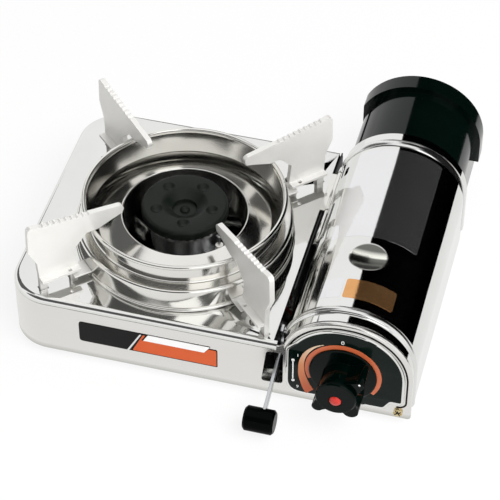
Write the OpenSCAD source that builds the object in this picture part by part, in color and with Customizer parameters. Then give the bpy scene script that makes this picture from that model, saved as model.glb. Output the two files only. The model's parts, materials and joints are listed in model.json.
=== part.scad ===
// Tabletop butane cassette stove: stainless case and deck, lift-off wind ring with four pan supports,
// hinged cartridge lid, sliding tail cap, ignition knob and cartridge lever.
// Z is up and the feet stand on z = 0. X and Y are centred on the overall size.
// Inside placed(), y is measured back from the front panel.

/* [Case] */
// Overall width, left wall to the beads of the cartridge lid
body_w = 272.6; // [268:0.2:284]
// Depth of the case, front panel to back wall
body_d = 190; // [188:1:200]
// Height of the walls from the base to the top of the deck
panel_h = 45; // [44:0.5:47]
// Plan radius of the two left corners
corner_r = 28; // [18:1:32]
// Radius of the rolled edge round the deck
rim_r = 4; // [3:0.5:5]
// Thickness of the stainless sheet
sheet = 0.8; // [0.6:0.1:1]
// Height of the rubber feet
foot_h = 8; // [6:1:12]
// Diameter of the rubber feet
foot_d = 15; // [12:1:18]
// Distance of each foot's centre from the case's sides
foot_inset = 16; // [14:1:20]

/* [Burner] */
// Distance of the burner's axis from the left wall
burner_inset = 100; // [98:0.5:101]
// Distance of the burner's axis from the front panel
burner_y = 82.4; // [82:0.5:88]
// Radius of the burner head
head_r = 28.8; // [26:0.2:31]
// Height of the burner head's top over the deck
head_top = 28.4; // [26:0.5:31]
// Number of flame ports round the head
port_count = 36; // [24:1:40]
// Radius of the drip dish's inner lip
dish_lip_r = 41.5; // [40.5:0.5:43]
// Height of the drip dish's inner lip over the deck
dish_lip_h = 21; // [18:0.5:23]

/* [Wind ring] */
// Radius of the ring's lower wall, outside
ring_r = 71.8; // [70.5:0.2:72]
// Height of the ring's rolled rim over the deck
ring_h = 35.5; // [33:0.5:37]
// Radius of the rolled rim at its centre line
ring_rim_r = 66.4; // [65.8:0.2:67]
// Height of the step between the lower and the upper wall
ring_step_h = 17.6; // [16:0.2:19]
// Radius of the upper wall where it leaves the step
ring_neck_r = 62.8; // [61.8:0.2:63.4]

/* [Pan supports] */
// Radius of a support's outer corner from the burner's axis
support_r = 112; // [110:0.5:113]
// Height of the outer corner over the deck
support_h = 56; // [52:0.5:58]
// Height of the inner tip over the deck
support_tip_h = 48.5; // [46:0.5:51]
// Radius of the inner tip
support_tip_r = 44.5; // [42:0.5:50]
// Thickness of a support
support_t = 3.6; // [2.8:0.2:4.4]
// Number of teeth along a support's top edge
tooth_count = 9; // [6:1:11]

/* [Cartridge bay] */
// Outer radius of the lid's shell
lid_r = 43.2; // [42.8:0.1:43.6]
// Length of the lid, from the front panel's face
lid_d = 184.5; // [182:0.5:186]
// Height of the bay's axis over the base
bay_h = 32; // [32:0.5:34]
// Radius of the cartridge that the bay takes
cartridge_r = 33.5; // [32.5:0.5:33.5]
// Distance from the front panel to the two raised beads: first the front one
bead_front_y = 13.5; // [12:0.5:16]
// Distance from the front panel to the rear bead
bead_rear_y = 174.5; // [170:0.5:176]
// Radius of the finger dimple in the lid
dimple_r = 12.2; // [10:0.2:13]

/* [Tail cap] */
// Outer radius of the tail cap's tube
cap_r = 40; // [39.8:0.1:40.4]
// Distance from the front panel to the cap's rear face
cap_end = 246; // [244:0.5:250]
// Radius of the cap's rear flange
flange_r = 44.5; // [43:0.5:46]
// How far the cap slides in
cap_travel = 44; // [30:1:44]

/* [Control knob] */
// Radius of the knob's skirt
skirt_r = 22; // [20:0.5:22.5]
// Radius of the knob's barrel at its front
knob_r = 13.2; // [12.4:0.2:14.4]
// Reach of the knob in front of the panel
knob_reach = 23.3; // [20:0.5:26]
// Radius of the red insert in the knob
insert_r = 4; // [3:0.2:6]
// How far the insert lies below the knob's axis
insert_drop = 2; // [0:0.5:4]
// Radius of the valve spindle
spindle_r = 3; // [2.5:0.1:3.5]
// Radial clearance of the turning fits
fit_gap = 0.05; // [0.03:0.01:0.1]

/* [Cartridge lever] */
// Reach of the lever knob's axis in front of the panel
lever_reach = 31; // [28:0.5:33]
// Height of the lever knob's axis over the floor
lever_low_z = 15; // [14:0.5:17]
// Radius of the lever knob
lever_knob_r = 8.2; // [7:0.2:9]
// Length of the lever knob
lever_knob_w = 20; // [16:1:24]

/* [Hidden] */
$fn = 64;

// Small overlap that keeps cuts clean
eps = 0.01;
// Gap between flat faces of pieces that move on each other
slip = 0.3;

// Levels
base_z = foot_h;
deck_z = base_z + panel_h;
seam_z = deck_z - rim_r;
wall_top = seam_z - 0.5;
bay_z = base_z + bay_h;
floor_z = base_z + sheet;

// Plan positions, x from the centre and y from the front panel
left_x = -body_w / 2;
right_x = body_w / 2;
burner_x = left_x + burner_inset;
hem = 0.6;
lid_shift = 1.2;
bead_h = 0.9;
bay_x = right_x - bead_h - lid_shift - lid_r;
deck_right = bay_x - 46.6;
front_reach = lever_reach + lever_knob_r;
front_y = (front_reach - cap_end) / 2;

module placed() {
  translate([0, front_y, 0]) children();
}

// Cylinder from the front panel's side to the back, along +Y
module along_y(r, y0, y1) {
  translate([0, y0, 0]) rotate([-90, 0, 0]) cylinder(h = y1 - y0, r = r);
}

// Cylinder between two x positions, along +X
module along_x(r, x0, x1) {
  translate([x0, 0, 0]) rotate([0, 90, 0]) cylinder(h = x1 - x0, r = r);
}

// Round bar between two points
module bar(a, b, r) {
  d = b - a;
  len = norm(d);
  translate(a) rotate([0, acos(d[2] / len), atan2(d[1], d[0])]) cylinder(h = len, r = r);
}

// Extrude an outline drawn in (x, z) along +Y
module front_profile(y0, y1) {
  translate([0, y1, 0]) rotate([90, 0, 0]) linear_extrude(y1 - y0) children();
}

// Extrude an outline drawn in (y, z) along +X
module side_profile(x0, x1) {
  translate([x0, 0, 0]) rotate([90, 0, 90]) linear_extrude(x1 - x0) children();
}

function unit(v) = v / norm(v);

// Outline with each corner cut to a short curve that starts a distance d from it
function soft_corners(pts, d, n = 4) = [for (i = [0:len(pts) - 1])
  let (p = pts[i], u = unit(pts[(i + len(pts) - 1) % len(pts)] - p), v = unit(pts[(i + 1) % len(pts)] - p))
    for (k = [0:n]) p + d * ((1 - k / n) * (1 - k / n) * u + k / n * k / n * v)];

// ---- Case ----

// Plan of the case, set in by a margin on every side
module case_plan(inset) {
  r = corner_r - inset;
  w = body_w - 2 * inset;
  d = body_d - 2 * inset;
  translate([left_x + inset + r, inset]) square([w - r, d]);
  translate([left_x + inset, inset + r]) square([r + 1, d - 2 * r]);
  translate([left_x + inset + r, inset + r]) circle(r, $fn = 96);
  translate([left_x + inset + r, inset + d - r]) circle(r, $fn = 96);
}

face_r = lid_r - 3.2;
lip_r = 2;
arch_shift = 2.6;
hood_d = 3.2;
slot_x = deck_right + 0.4;
slot_outline = soft_corners([[slot_x - 7.5, base_z + 9.6], [slot_x + 6.8, base_z + 10.4],
  [slot_x + 6.8, wall_top - 1.6], [slot_x - 4.3, wall_top - 2.6]], 2.6);
valley_x = deck_right + 2.8;
boss_r = 7;

// Outline of the arched front in (x, z), for a given arch radius
module arch_outline(r) {
  translate([bay_x, bay_z]) circle(r, $fn = 96);
  translate([bay_x + arch_shift, bay_z]) circle(r, $fn = 96);
  translate([bay_x, bay_z]) square([arch_shift, r]);
  translate([bay_x - r, base_z]) square([2 * r + arch_shift, bay_z - base_z]);
}

module arch_face(r) {
  intersection() {
    arch_outline(r);
    translate([bay_x - 2 * r, base_z]) square([5 * r, 3 * r]);
  }
}

// Rolled lip round the arch: section in (radius, y)
module lip_section() {
  difference() {
    union() {
      translate([face_r, -lip_r]) circle(lip_r);
      translate([face_r + lip_r - sheet, -hood_d]) square([sheet, hood_d - lip_r]);
    }
    translate([face_r - 3 * lip_r, -hood_d - 2]) square([3 * lip_r, hood_d + 4]);
    translate([face_r - eps, -lip_r]) circle(lip_r - sheet);
    translate([face_r - eps, -hood_d - 1]) square([lip_r - sheet, hood_d + 1 - lip_r]);
  }
}

module lip_arc(a0, a1) {
  translate([bay_x, 0, bay_z]) rotate([90, 0, 0]) rotate([0, 0, a0])
    rotate_extrude(angle = a1 - a0, $fn = 96) lip_section();
}

module case_shell() {
  seam_a = asin((wall_top - bay_z) / (face_r + lip_r));
  color("gainsboro") placed() {
    difference() {
      union() {
        difference() {
          translate([0, 0, base_z]) linear_extrude(wall_top - base_z) case_plan(0);
          translate([0, 0, base_z - 1]) linear_extrude(panel_h) case_plan(sheet);
          translate([bay_x - face_r + 3, sheet, base_z - 1]) cube([body_w, body_d, panel_h]);
          translate([bay_x, -1, base_z - 1]) cube([body_w, body_d, panel_h]);
          translate([deck_right + 2, sheet, base_z + 3]) cube([body_w, body_d, panel_h]);
        }
        front_profile(0, sheet) arch_face(face_r);
        // Web that closes the valley between the deck's edge and the arch
        front_profile(0, sheet) polygon([[valley_x, wall_top - 0.2], [valley_x, deck_z - 0.8], [valley_x + 1.6, deck_z - 0.6],
          [valley_x + 4.4, deck_z + 1.4], [valley_x + 6.2, wall_top - 0.2]]);
      }
      front_profile(-1, sheet + 1) polygon(slot_outline);
      translate([bay_x, 0, bay_z]) along_y(boss_r + 0.5, -1, sheet + 1);
    }
    lip_arc(90, 180 - seam_a);
    translate([arch_shift, 0, 0]) lip_arc(0, 90);
    translate([bay_x, 0, bay_z]) rotate([90, 0, 90]) linear_extrude(arch_shift)
      rotate([0, 0, 90]) lip_section();
    translate([bay_x + arch_shift, 0, base_z]) linear_extrude(bay_z - base_z)
      lip_section_plan();
  }
}

// The lip's section laid in plan, for its straight run down the right side
module lip_section_plan() {
  mirror([0, 1]) lip_section();
}

// Deck edge in (distance in from the face, height over the seam)
module rim_section(hem = true) {
  difference() {
    union() {
      intersection() {
        translate([rim_r, 0]) circle(rim_r);
        square([rim_r, rim_r]);
      }
      if (hem) translate([sheet + eps, -4]) square([sheet, 4 + sheet]);
    }
    translate([rim_r + 0.8, 0]) circle(rim_r - sheet);
  }
}

well_r = ring_neck_r - 2.8;
leg_in_r = 80;
leg_out_r = support_r - 10.5;
leg_w = 5;
leg_gap = 0.6;
support_angles = [-136.5, -45, 136.5, 45];

module deck_plate() {
  color("whitesmoke") placed() {
    difference() {
      union() {
        translate([0, 0, deck_z - sheet]) linear_extrude(sheet) intersection() {
          case_plan(rim_r - eps);
          translate([left_x, 0]) square([deck_right - left_x, body_d]);
        }
        translate([0, 0, seam_z]) rim_runs();
        // Turned-down edge beside the lid
        translate([deck_right - sheet, burner_y - 32, deck_z - 10]) cube([sheet, 1 + body_d - rim_r - burner_y + 30, 10]);
      }
      translate([burner_x, burner_y, deck_z - 12]) cylinder(h = 30, r = well_r, $fn = 96);
      for (a = support_angles, r = [leg_in_r, leg_out_r])
        translate([burner_x, burner_y, deck_z - 3]) rotate([0, 0, a])
          translate([r - leg_gap, -support_t / 2 - leg_gap, 0]) cube([leg_w + 2 * leg_gap, support_t + 2 * leg_gap, 6]);
    }
  }
}

// The rolled edge: front, back and left runs and the two corners
module rim_runs() {
  run = deck_right - left_x - corner_r;
  translate([left_x + corner_r, 0, 0]) rotate([90, 0, 90]) linear_extrude(run) rim_section();
  // The front run goes on past the deck to meet the arch
  translate([deck_right - 1, 0, 0]) rotate([90, 0, 90]) linear_extrude(valley_x - deck_right + 0.8) rim_section(false);
  translate([left_x + corner_r, body_d, 0]) mirror([0, 1, 0]) rotate([90, 0, 90]) linear_extrude(run) rim_section();
  translate([left_x, body_d - corner_r, 0]) rotate([90, 0, 0]) linear_extrude(body_d - 2 * corner_r) rim_section();
  for (y = [corner_r, body_d - corner_r])
    translate([left_x + corner_r, y, 0]) rotate([0, 0, y > corner_r ? 90 : 180])
      rotate_extrude(angle = 90, $fn = 96) translate([corner_r, 0]) mirror([1, 0]) rim_section();
}

module base_plate() {
  color("silver") placed() difference() {
    translate([0, 0, base_z]) linear_extrude(sheet) intersection() {
      case_plan(sheet);
      translate([left_x, 0]) square([right_x - left_x - hem - sheet - 1.2, body_d]);
    }
    for (k = [-3:3])
      translate([burner_x - 25, burner_y + 9 * k - 1.5, base_z - 1]) cube([50, 3, 4]);
  }
}

foot_points = [for (x = [left_x + foot_inset + 12, right_x - foot_inset - 8], y = [foot_inset, body_d - foot_inset]) [x, y]];

module rubber_feet() {
  color("dimgray") placed() for (p = foot_points) translate([p[0], p[1], 0])
    rotate_extrude() polygon([[0, 0], [foot_d / 2 - 1.5, 0], [foot_d / 2, 1.5], [foot_d / 2, foot_h], [0, foot_h]]);
}

// ---- Control panel ----

plate_t = 0.8;
plate_r = face_r - 4.5;
plate_left = bay_x - 35.7;
plate_right = bay_x + arch_shift + plate_r - 0.2;
plate_low = base_z + 7.5;

module plate_outline() {
  foot_r = 9;
  step_x = bay_x + 29.5;
  step_z = plate_low + 7;
  shoulder_z = bay_z + 12.8;
  difference() {
    union() {
      intersection() {
        arch_face(plate_r);
        translate([plate_left, step_z]) square([plate_right - plate_left, 2 * face_r]);
      }
      polygon([[plate_left, plate_low + foot_r], [bay_x, plate_low + foot_r], [bay_x, shoulder_z + 7], [plate_left + 5.4, shoulder_z + 7],
        [plate_left, shoulder_z]]);
      translate([plate_left + foot_r, plate_low]) square([step_x - plate_left - foot_r, foot_r]);
      translate([plate_left + foot_r, plate_low + foot_r]) circle(foot_r);
    }
    translate([bay_x, bay_z]) circle(boss_r + 0.5);
  }
}

module control_plate() {
  color("black") placed() front_profile(-plate_t, 0) plate_outline();
}

scale_t = 0.3;
band_r = skirt_r + 2.4;

module dial_scale() {
  color("orangered") placed() translate([bay_x, 0, bay_z]) {
    front_profile(-plate_t - scale_t, -plate_t) {
      difference() {
        circle(band_r, $fn = 96);
        circle(skirt_r - 1.6, $fn = 96);
        polygon([[0, 0], [60, -45], [0, -90], [-90, -90], [-90, 0]]);
      }
      difference() {
        translate([5.5, -3.5]) circle(band_r + 10.3, $fn = 96);
        circle(band_r + 1.4, $fn = 96);
        polygon([[0, 0], [-18, 90], [90, 90], [90, -90], [-54, -60]]);
      }
    }
  }
}

screw_x = right_x - 8.7;
module screw_head(r, h) {
  difference() {
    cylinder(h = h, r = r);
    translate([-r, -0.4, h - 0.6]) cube([2 * r, 0.8, 1]);
    translate([-0.4, -r, h - 0.6]) cube([0.8, 2 * r, 1]);
  }
}

module case_screws() {
  color("goldenrod") placed() {
    translate([screw_x, 0, base_z + 5.3]) rotate([90, 0, 0]) screw_head(3, 1.6);
    for (p = foot_points) translate([p[0] + (p[0] < 0 ? 14 : -14), p[1], base_z]) mirror([0, 0, 1]) screw_head(3, 1.5);
  }
}

// ---- Cartridge bay ----

partition_x = deck_right + 1.2;
partition_y0 = burner_y - 30;

module partition_wall() {
  color("silver") placed() difference() {
    union() {
      translate([partition_x, partition_y0, floor_z]) cube([sheet, body_d - sheet - partition_y0, deck_z - 1 - floor_z]);
      translate([deck_right, partition_y0, deck_z - 9.4]) cube([partition_x - deck_right + eps, body_d - sheet - partition_y0, 2]);
    }
    for (k = [0:5])
      translate([partition_x - 3, partition_y0 + 20 + 16 * k, floor_z + 12]) cube([6, 10, 4]);
  }
}

cartridge_z = base_z + 2.5 + cartridge_r;
tray_y0 = 62;
tray_y1 = body_d - 6;

// Sheet trough under the cartridge: section in (x, z) from the bay's axis and the base
module cartridge_tray() {
  low = floor_z + 0.4;
  high = low + 7;
  color("silver") placed() translate([bay_x, 0, 0]) {
    front_profile(tray_y0, tray_y1) polygon([
      [-34.6, low + 18], [-34.6, high], [-26, high], [-13, low], [13, low], [26, high], [34.6, high], [34.6, low + 12],
      [35.4, low + 12], [35.4, high - sheet], [26.3, high - sheet], [13.3, low - 0.4], [-13.3, low - 0.4],
      [-26.3, high - sheet], [-35.4, high - sheet], [-35.4, low + 18]]);
  }
}

cap_inner = cap_r - 1.6;
cap_low = base_z + 4.8;

// Rails that the cap's two sides run on
module cap_rails() {
  color("dimgray") placed() for (s = [-1, 1]) translate([bay_x, 0, 0]) mirror([s < 0 ? 1 : 0, 0, 0]) {
    translate([cap_r - 2.6, 98, floor_z]) cube([3, body_d - sheet - 98, cap_low - slip - floor_z]);
    translate([cap_r + slip, 98, floor_z]) cube([s < 0 ? 1.2 : 1.6, body_d - sheet - 98, 11]);
    translate([cap_r - 2.6, 98, floor_z]) cube([slip + 3, body_d - sheet - 98, 2]);
  }
}

// ---- Valve, seat and igniter ----

bracket_y = 28;
bracket_t = 1.2;
valve_r = 12;
seat_y = bracket_y + bracket_t;
seat_end = seat_y + 9;
port_r = 5.2;
port_len = 6.5;
seal_r = 2.2;

module valve_bracket() {
  color("silver") placed() front_profile(bracket_y, seat_y) difference() {
    union() {
      translate([bay_x - 34, floor_z + 23]) square([68, 31]);
      translate([bay_x - 14.6, floor_z]) square([48.6, 24]);
    }
    translate([bay_x, bay_z]) circle(spindle_r + 2);
  }
}

module valve_body() {
  color("darkkhaki") placed() translate([bay_x, 0, bay_z]) difference() {
    union() {
      along_y(valve_r, 8, bracket_y);
      along_y(boss_r, sheet - 2, 8);
      translate([0, 17, 0]) along_x(6, valve_r - 2, valve_r + 4);
      translate([-5, 10, valve_r - 3]) cube([10, 14, 7]);
    }
    along_y(spindle_r + fit_gap, sheet - 4, bracket_y - 6);
  }
}

module cartridge_seat() {
  color("goldenrod") placed() translate([bay_x, 0, bay_z + 2]) difference() {
    union() {
      along_y(14, seat_y, seat_y + 4);
      along_y(11, seat_y + 4, seat_end);
    }
    along_y(port_r, seat_end - port_len - 0.8, seat_end + 1);
    along_y(1.2, seat_y - 1, seat_end);
    along_y(port_r + seal_r, seat_end - 0.8, seat_end + 1);
  }
}

module seal_ring() {
  color("black") placed() translate([bay_x, seat_end - 0.8, bay_z + 2]) rotate([-90, 0, 0]) difference() {
    cylinder(h = 1.8, r = port_r + seal_r);
    translate([0, 0, -1]) cylinder(h = 4, r = port_r + 0.6);
  }
}

// Guide plate with the key that enters the notch in the cartridge's collar
module locator_plate() {
  color("silver") placed() translate([bay_x, 0, bay_z + 2]) {
    difference() {
      along_y(21, seat_y + 4, seat_y + 5);
      along_y(11, seat_y + 3, seat_y + 6);
    }
    translate([-3.5, seat_y + 4, 18]) cube([7, 8, 1.2]);
    for (s = [-1, 1]) translate([s * 20 - 0.6, seat_y + 4, -6]) cube([1.2, 6, 12]);
  }
}

module pressure_regulator() {
  x0 = valve_r + 4;
  color("lightgray") placed() translate([bay_x, 17, bay_z]) {
    difference() {
      union() {
        along_x(10.5, x0, x0 + 12);
        along_x(11, x0 + 5, x0 + 7);
      }
      along_x(4, x0 + 10, x0 + 13);
    }
    for (a = [0:60:300]) translate([x0 + 12, 8 * cos(a), 8 * sin(a)]) along_x(1.3, 0, 1.2);
  }
}

igniter_x = bay_x - 31;
igniter_z = bay_z + 6;

module igniter_unit() {
  color("ivory") placed() {
    translate([igniter_x, bracket_y - 20, igniter_z]) cube([9, 20, 11]);
    translate([igniter_x + 4.5, 0, igniter_z + 5.5]) along_y(3, bracket_y - 24, bracket_y - 20);
  }
}

electrode_a = -32;
electrode_r = head_r + 4.6;
electrode_x = burner_x + electrode_r * cos(electrode_a);
electrode_y = burner_y + electrode_r * sin(electrode_a);
lead_r = 1.2;
lead_points = [[igniter_x, 20, igniter_z + 3], [igniter_x - 2, 20, igniter_z + 3], [igniter_x - 5, 22, igniter_z - 3], [igniter_x - 5.5, 30, bay_z - 6],
  [igniter_x - 11, 44, bay_z - 6], [30, 60, bay_z - 5], [0, 66, bay_z - 5], [electrode_x, electrode_y, bay_z - 5],
  [electrode_x, electrode_y, bay_z]];

// Rings of points that sweep a round lead along its route
lead_sides = 10;
lead_last = len(lead_points) - 1;
lead_ref = [1, 1, 0.3];
function lead_dir(k) = unit(unit(lead_points[min(k + 1, lead_last)] - lead_points[min(k, lead_last - 1)])
  + unit(lead_points[max(k, 1)] - lead_points[max(k - 1, 0)]));
function lead_u(k) = unit(cross(lead_dir(k), lead_ref));
function lead_v(k) = cross(lead_dir(k), lead_u(k));
lead_rings = [for (k = [0:lead_last], j = [0:lead_sides - 1])
  lead_points[k] + lead_r * (cos(j * 360 / lead_sides) * lead_u(k) + sin(j * 360 / lead_sides) * lead_v(k))];
lead_faces = concat([[for (j = [0:lead_sides - 1]) j]],
  [for (k = [0:lead_last - 1], j = [0:lead_sides - 1]) let (n = (j + 1) % lead_sides)
    [k * lead_sides + j, (k + 1) * lead_sides + j, (k + 1) * lead_sides + n, k * lead_sides + n]],
  [[for (j = [lead_sides - 1:-1:0]) lead_last * lead_sides + j]]);

module igniter_lead() {
  color("crimson") placed() polyhedron(lead_rings, lead_faces, 4);
}

// ---- Burner ----

base_top = deck_z + head_top - 10;
head_low = base_top + 3.6;
tube_r = 7;
tube_z = floor_z + 6 + tube_r;
tube_start = [bay_x - 17, 23];
tube_dir = [burner_x - tube_start[0], burner_y - tube_start[1]];
tube_len = norm(tube_dir);
tube_a = atan2(tube_dir[1], tube_dir[0]);
stem_r = 15;

// Children laid along the mixing tube's axis, from its mouth
module on_tube() {
  translate([tube_start[0], tube_start[1], tube_z]) rotate([0, 0, tube_a]) rotate([0, 90, 0]) children();
}

module jet_block() {
  color("darkkhaki") placed() difference() {
    union() {
      translate([bay_x - 12, 10, tube_z - 6]) cube([14, bracket_y - 10, 12]);
      translate([bay_x - 8, 11, tube_z]) cube([9, bracket_y - 12, bay_z - tube_z - valve_r + 2]);
    }
    translate([bay_x, 0, bay_z]) along_y(valve_r, 0, bracket_y + 1);
  }
}

module gas_jet() {
  color("gold") placed() intersection() {
    on_tube() translate([0, 0, -8]) union() {
      cylinder(h = 6, r = 2.4);
      cylinder(h = 8, r = 1.4);
    }
    translate([0, 0, tube_z - 10]) cube([bay_x - 12, bracket_y, 20]);
  }
}

module mixing_tube() {
  color("lightgray") placed() on_tube() difference() {
    union() {
      translate([0, 0, 2]) rotate_extrude() polygon([[0, 0], [tube_r + 1.2, 0], [tube_r + 1.2, 2], [tube_r, 8], [0, 8]]);
      translate([0, 0, 9]) cylinder(h = tube_len - stem_r - 5, r = tube_r);
      translate([0, 0, 9.9]) cylinder(h = 1, r = tube_r);
    }
    translate([0, 0, 3]) cylinder(h = tube_len, r = tube_r - 1);
    translate([0, 0, 1]) cylinder(h = 4, r = tube_r - 0.4);
  }
}

module burner_base() {
  ear_z = deck_z + 1;
  color("darkslategray") placed() difference() {
    union() {
      translate([burner_x, burner_y, 0]) rotate_extrude($fn = 96) polygon([
        [0, floor_z], [stem_r, floor_z], [stem_r, deck_z - 14], [head_r - 6, deck_z - 3], [head_r - 5, base_top],
        [head_r - 9, base_top], [head_r - 9.6, deck_z - 1], [stem_r - 3, deck_z - 12], [stem_r - 3, floor_z + 3],
        [0, floor_z + 3]]);
      translate([burner_x, burner_y, ear_z]) rotate([0, 0, electrode_a])
        translate([head_r - 7, -4, 0]) cube([electrode_r - head_r + 9.6, 8, 2]);
    }
    translate([electrode_x, electrode_y, ear_z - 1]) cylinder(h = 4, r = 2.6);
    on_tube() cylinder(h = tube_len, r = tube_r);
  }
}

// Toothed ring that forms the flame ports under the head
module port_ring() {
  color("gray") placed() translate([burner_x, burner_y, base_top]) difference() {
    cylinder(h = head_low - base_top, r = head_r - 1.4, $fn = 96);
    translate([0, 0, -1]) cylinder(h = 10, r = head_r - 9, $fn = 96);
    for (k = [0:port_count - 1]) rotate([0, 0, k * 360 / port_count])
      translate([head_r - 8, -1, 1.2]) cube([12, 2, 8]);
  }
}

module burner_head() {
  top = deck_z + head_top;
  color([0.2, 0.2, 0.22]) placed() translate([burner_x, burner_y, 0]) difference() {
    rotate_extrude($fn = 96) polygon([[0, head_low], [head_r, head_low], [head_r, top - 2.6], [head_r - 0.8, top - 1],
      [head_r - 2.6, top], [9, top], [7, top - 1.6], [0, top - 1.6]]);
    for (k = [0:4]) rotate([0, 0, 72 * k + 18]) translate([14.5, 0, top - 1.6]) cylinder(h = 3, r = 2);
  }
}

module electrode_insulator() {
  color("white") placed() translate([electrode_x, electrode_y, 0]) difference() {
    union() {
      translate([0, 0, bay_z]) cylinder(h = deck_z + 14 - bay_z, r = 2.6);
      translate([0, 0, deck_z + 3]) cylinder(h = 2, r = 3.4);
    }
    translate([0, 0, deck_z]) cylinder(h = 30, r = 0.9);
  }
}

module electrode_tip() {
  color("dimgray") placed() translate([electrode_x, electrode_y, 0]) {
    translate([0, 0, deck_z]) cylinder(h = head_top - 8, r = 0.9);
    translate([0, 0, deck_z + head_top - 8]) rotate([0, 0, electrode_a]) rotate([0, -90, 0]) cylinder(h = 2.4, r = 0.9);
    translate([0, 0, deck_z + head_top - 8]) sphere(0.9, $fn = 32);
  }
}

// Bright dish that lines the deck's well and rises to a lip round the burner
module drip_dish() {
  t = 0.6;
  edge_r = well_r - 1.6;
  color("white") placed() translate([burner_x, burner_y, deck_z]) rotate_extrude($fn = 128) polygon([
    [well_r + 6, 0], [well_r + 6, t], [edge_r + 1, t], [edge_r, 14], [edge_r - 1.5, 15.4], [dish_lip_r + 1.6, dish_lip_h - 0.4],
    [dish_lip_r + 0.4, dish_lip_h], [dish_lip_r - 0.4, dish_lip_h - 0.6], [dish_lip_r - 1.6, 12], [dish_lip_r - 4, 3],
    [dish_lip_r - 3.4, 3], [dish_lip_r - 1, 12], [dish_lip_r + 0.3, dish_lip_h - 1.2], [dish_lip_r + 1.6, dish_lip_h - 1.2],
    [edge_r - 2, 14.6], [edge_r - t, 13.6], [edge_r + 1 - t - 0.6, -0.4], [edge_r + 1.2, -0.4], [edge_r + 1.2, 0]]);
}

// ---- Hinge ----

hinge_x = bay_x - 40.4;
hinge_z = deck_z + 0.6;
knuckle_r = 2.6;
pin_r = 1.2;
lid_knuckles = [[93, 127], [165.6, 171]];
body_knuckle = [127.6, 165];
knuckle_len = body_knuckle[1] - body_knuckle[0];

module hinge_bracket() {
  color("silver") placed() difference() {
    union() {
      translate([deck_right, body_knuckle[0], deck_z - 7]) cube([partition_x - deck_right, knuckle_len, 7 + sheet]);
      translate([deck_right, body_knuckle[0], deck_z]) cube([hinge_x - deck_right, knuckle_len, sheet]);
      translate([hinge_x, 0, hinge_z]) along_y(knuckle_r, body_knuckle[0], body_knuckle[1]);
    }
    translate([hinge_x, 0, hinge_z]) along_y(pin_r, body_knuckle[0] - 1, body_knuckle[1] + 1);
  }
}

module hinge_pin() {
  color("gray") placed() translate([hinge_x, 0, hinge_z]) along_y(pin_r, lid_knuckles[0][0] + 1, lid_knuckles[1][1] - 1);
}

// ---- Lid ----

bead_w = 2.2;
band_h = 0.8;
lid_y0 = hood_d + 0.4;

// Raised bead in (radius, y): a low arc of points
function bead(y, r) = [for (a = [0:30:180]) [r + bead_h * sin(a), y - bead_w * cos(a)]];

// Section of the lid's sheet in (radius, y), from the front edge to the rear one and back
module lid_section() {
  outer = concat([[lid_r - band_h, lid_y0], [lid_r - band_h, bead_front_y - bead_w - 0.6]], bead(bead_front_y, lid_r),
    bead(bead_rear_y, lid_r), [[lid_r, lid_d]]);
  inner = [for (k = [len(outer) - 1:-1:0]) [outer[k][0] - sheet, outer[k][1]]];
  polygon([for (p = concat(outer, inner)) [p[0], -p[1]]]);
}

module lid_arc(a0, a1) {
  translate([bay_x, 0, bay_z]) rotate([90, 0, 0]) rotate([0, 0, a0])
    rotate_extrude(angle = a1 - a0, $fn = 96) lid_section();
}

dimple_y = 62.8;
dimple_depth = 3.4;
dimple_ball = 24;
lid_left_a = 158.8;

module lid_ball(r) {
  translate([bay_x, dimple_y, bay_z + lid_r - dimple_depth + dimple_ball]) sphere(r, $fn = 96);
}

module cartridge_lid() {
  color("gainsboro") placed() {
    difference() {
      union() {
        lid_arc(90, lid_left_a);
        translate([lid_shift, 0, 0]) lid_arc(0, 90);
        translate([bay_x, 0, bay_z]) rotate([90, 0, 90]) linear_extrude(lid_shift) rotate([0, 0, 90]) lid_section();
        translate([bay_x + lid_shift, 0, base_z + 1]) linear_extrude(bay_z - base_z - 1) mirror([0, 1]) lid_section();
        // Hem along the lower edge of the right wall
        translate([bay_x + lid_shift + lid_r - eps, lid_y0, base_z + 1]) cube([hem + eps, lid_d - lid_y0, 3]);
        // Under side of the finger dimple
        intersection() {
          lid_ball(dimple_ball + sheet);
          translate([bay_x, dimple_y, bay_z + lid_r - 8]) cylinder(h = 8, r = dimple_r + 1.5);
          translate([bay_x, 0, bay_z]) along_y(lid_r - sheet / 2, lid_y0, lid_d);
        }
        for (k = lid_knuckles) translate([hinge_x, 0, hinge_z]) along_y(knuckle_r, k[0], k[1]);
        // Raised hinge leaf on the lid's left side
        translate([bay_x, lid_knuckles[0][1], bay_z]) rotate([90, 0, 0]) rotate([0, 0, 146]) rotate_extrude(angle = 12.6, $fn = 96)
          translate([lid_r - eps, 0]) square([sheet, lid_knuckles[0][1] - lid_knuckles[0][0]]);
      }
      lid_ball(dimple_ball);
      translate([hinge_x, 0, hinge_z]) along_y(pin_r + fit_gap, lid_knuckles[0][0] - 1, lid_knuckles[1][1] + 1);
      // Room for the fixed knuckle
      translate([hinge_x - 6, body_knuckle[0] - slip, hinge_z - 6])
        cube([6 + knuckle_r + 1, body_knuckle[1] - body_knuckle[0] + 2 * slip, 6 + knuckle_r + 1.2]);
      // The lid's left edge in front of and behind the hinge
      translate([hinge_x - 6, lid_y0 - 1, hinge_z - 6]) cube([12, lid_knuckles[0][0] - lid_y0 + 1, 8.4]);
      // Notch over the rail at the rear of the right wall
      translate([bay_x + 10, lid_d - 14, base_z]) cube([80, 9, 8]);
      // Slot near the rear bead
      for (y = [155, 159]) translate([bay_x, y, bay_z]) rotate([0, -54, 0]) cylinder(h = 60, r = 2);
      translate([bay_x, 157, bay_z]) rotate([0, -54, 0]) translate([-2, -2, 0]) cube([4, 4, 60]);
    }
  }
}

// ---- Tail cap ----

cap_y0 = 150;
flange_w = 12.5;
flange_low = cap_low + 13;

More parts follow.
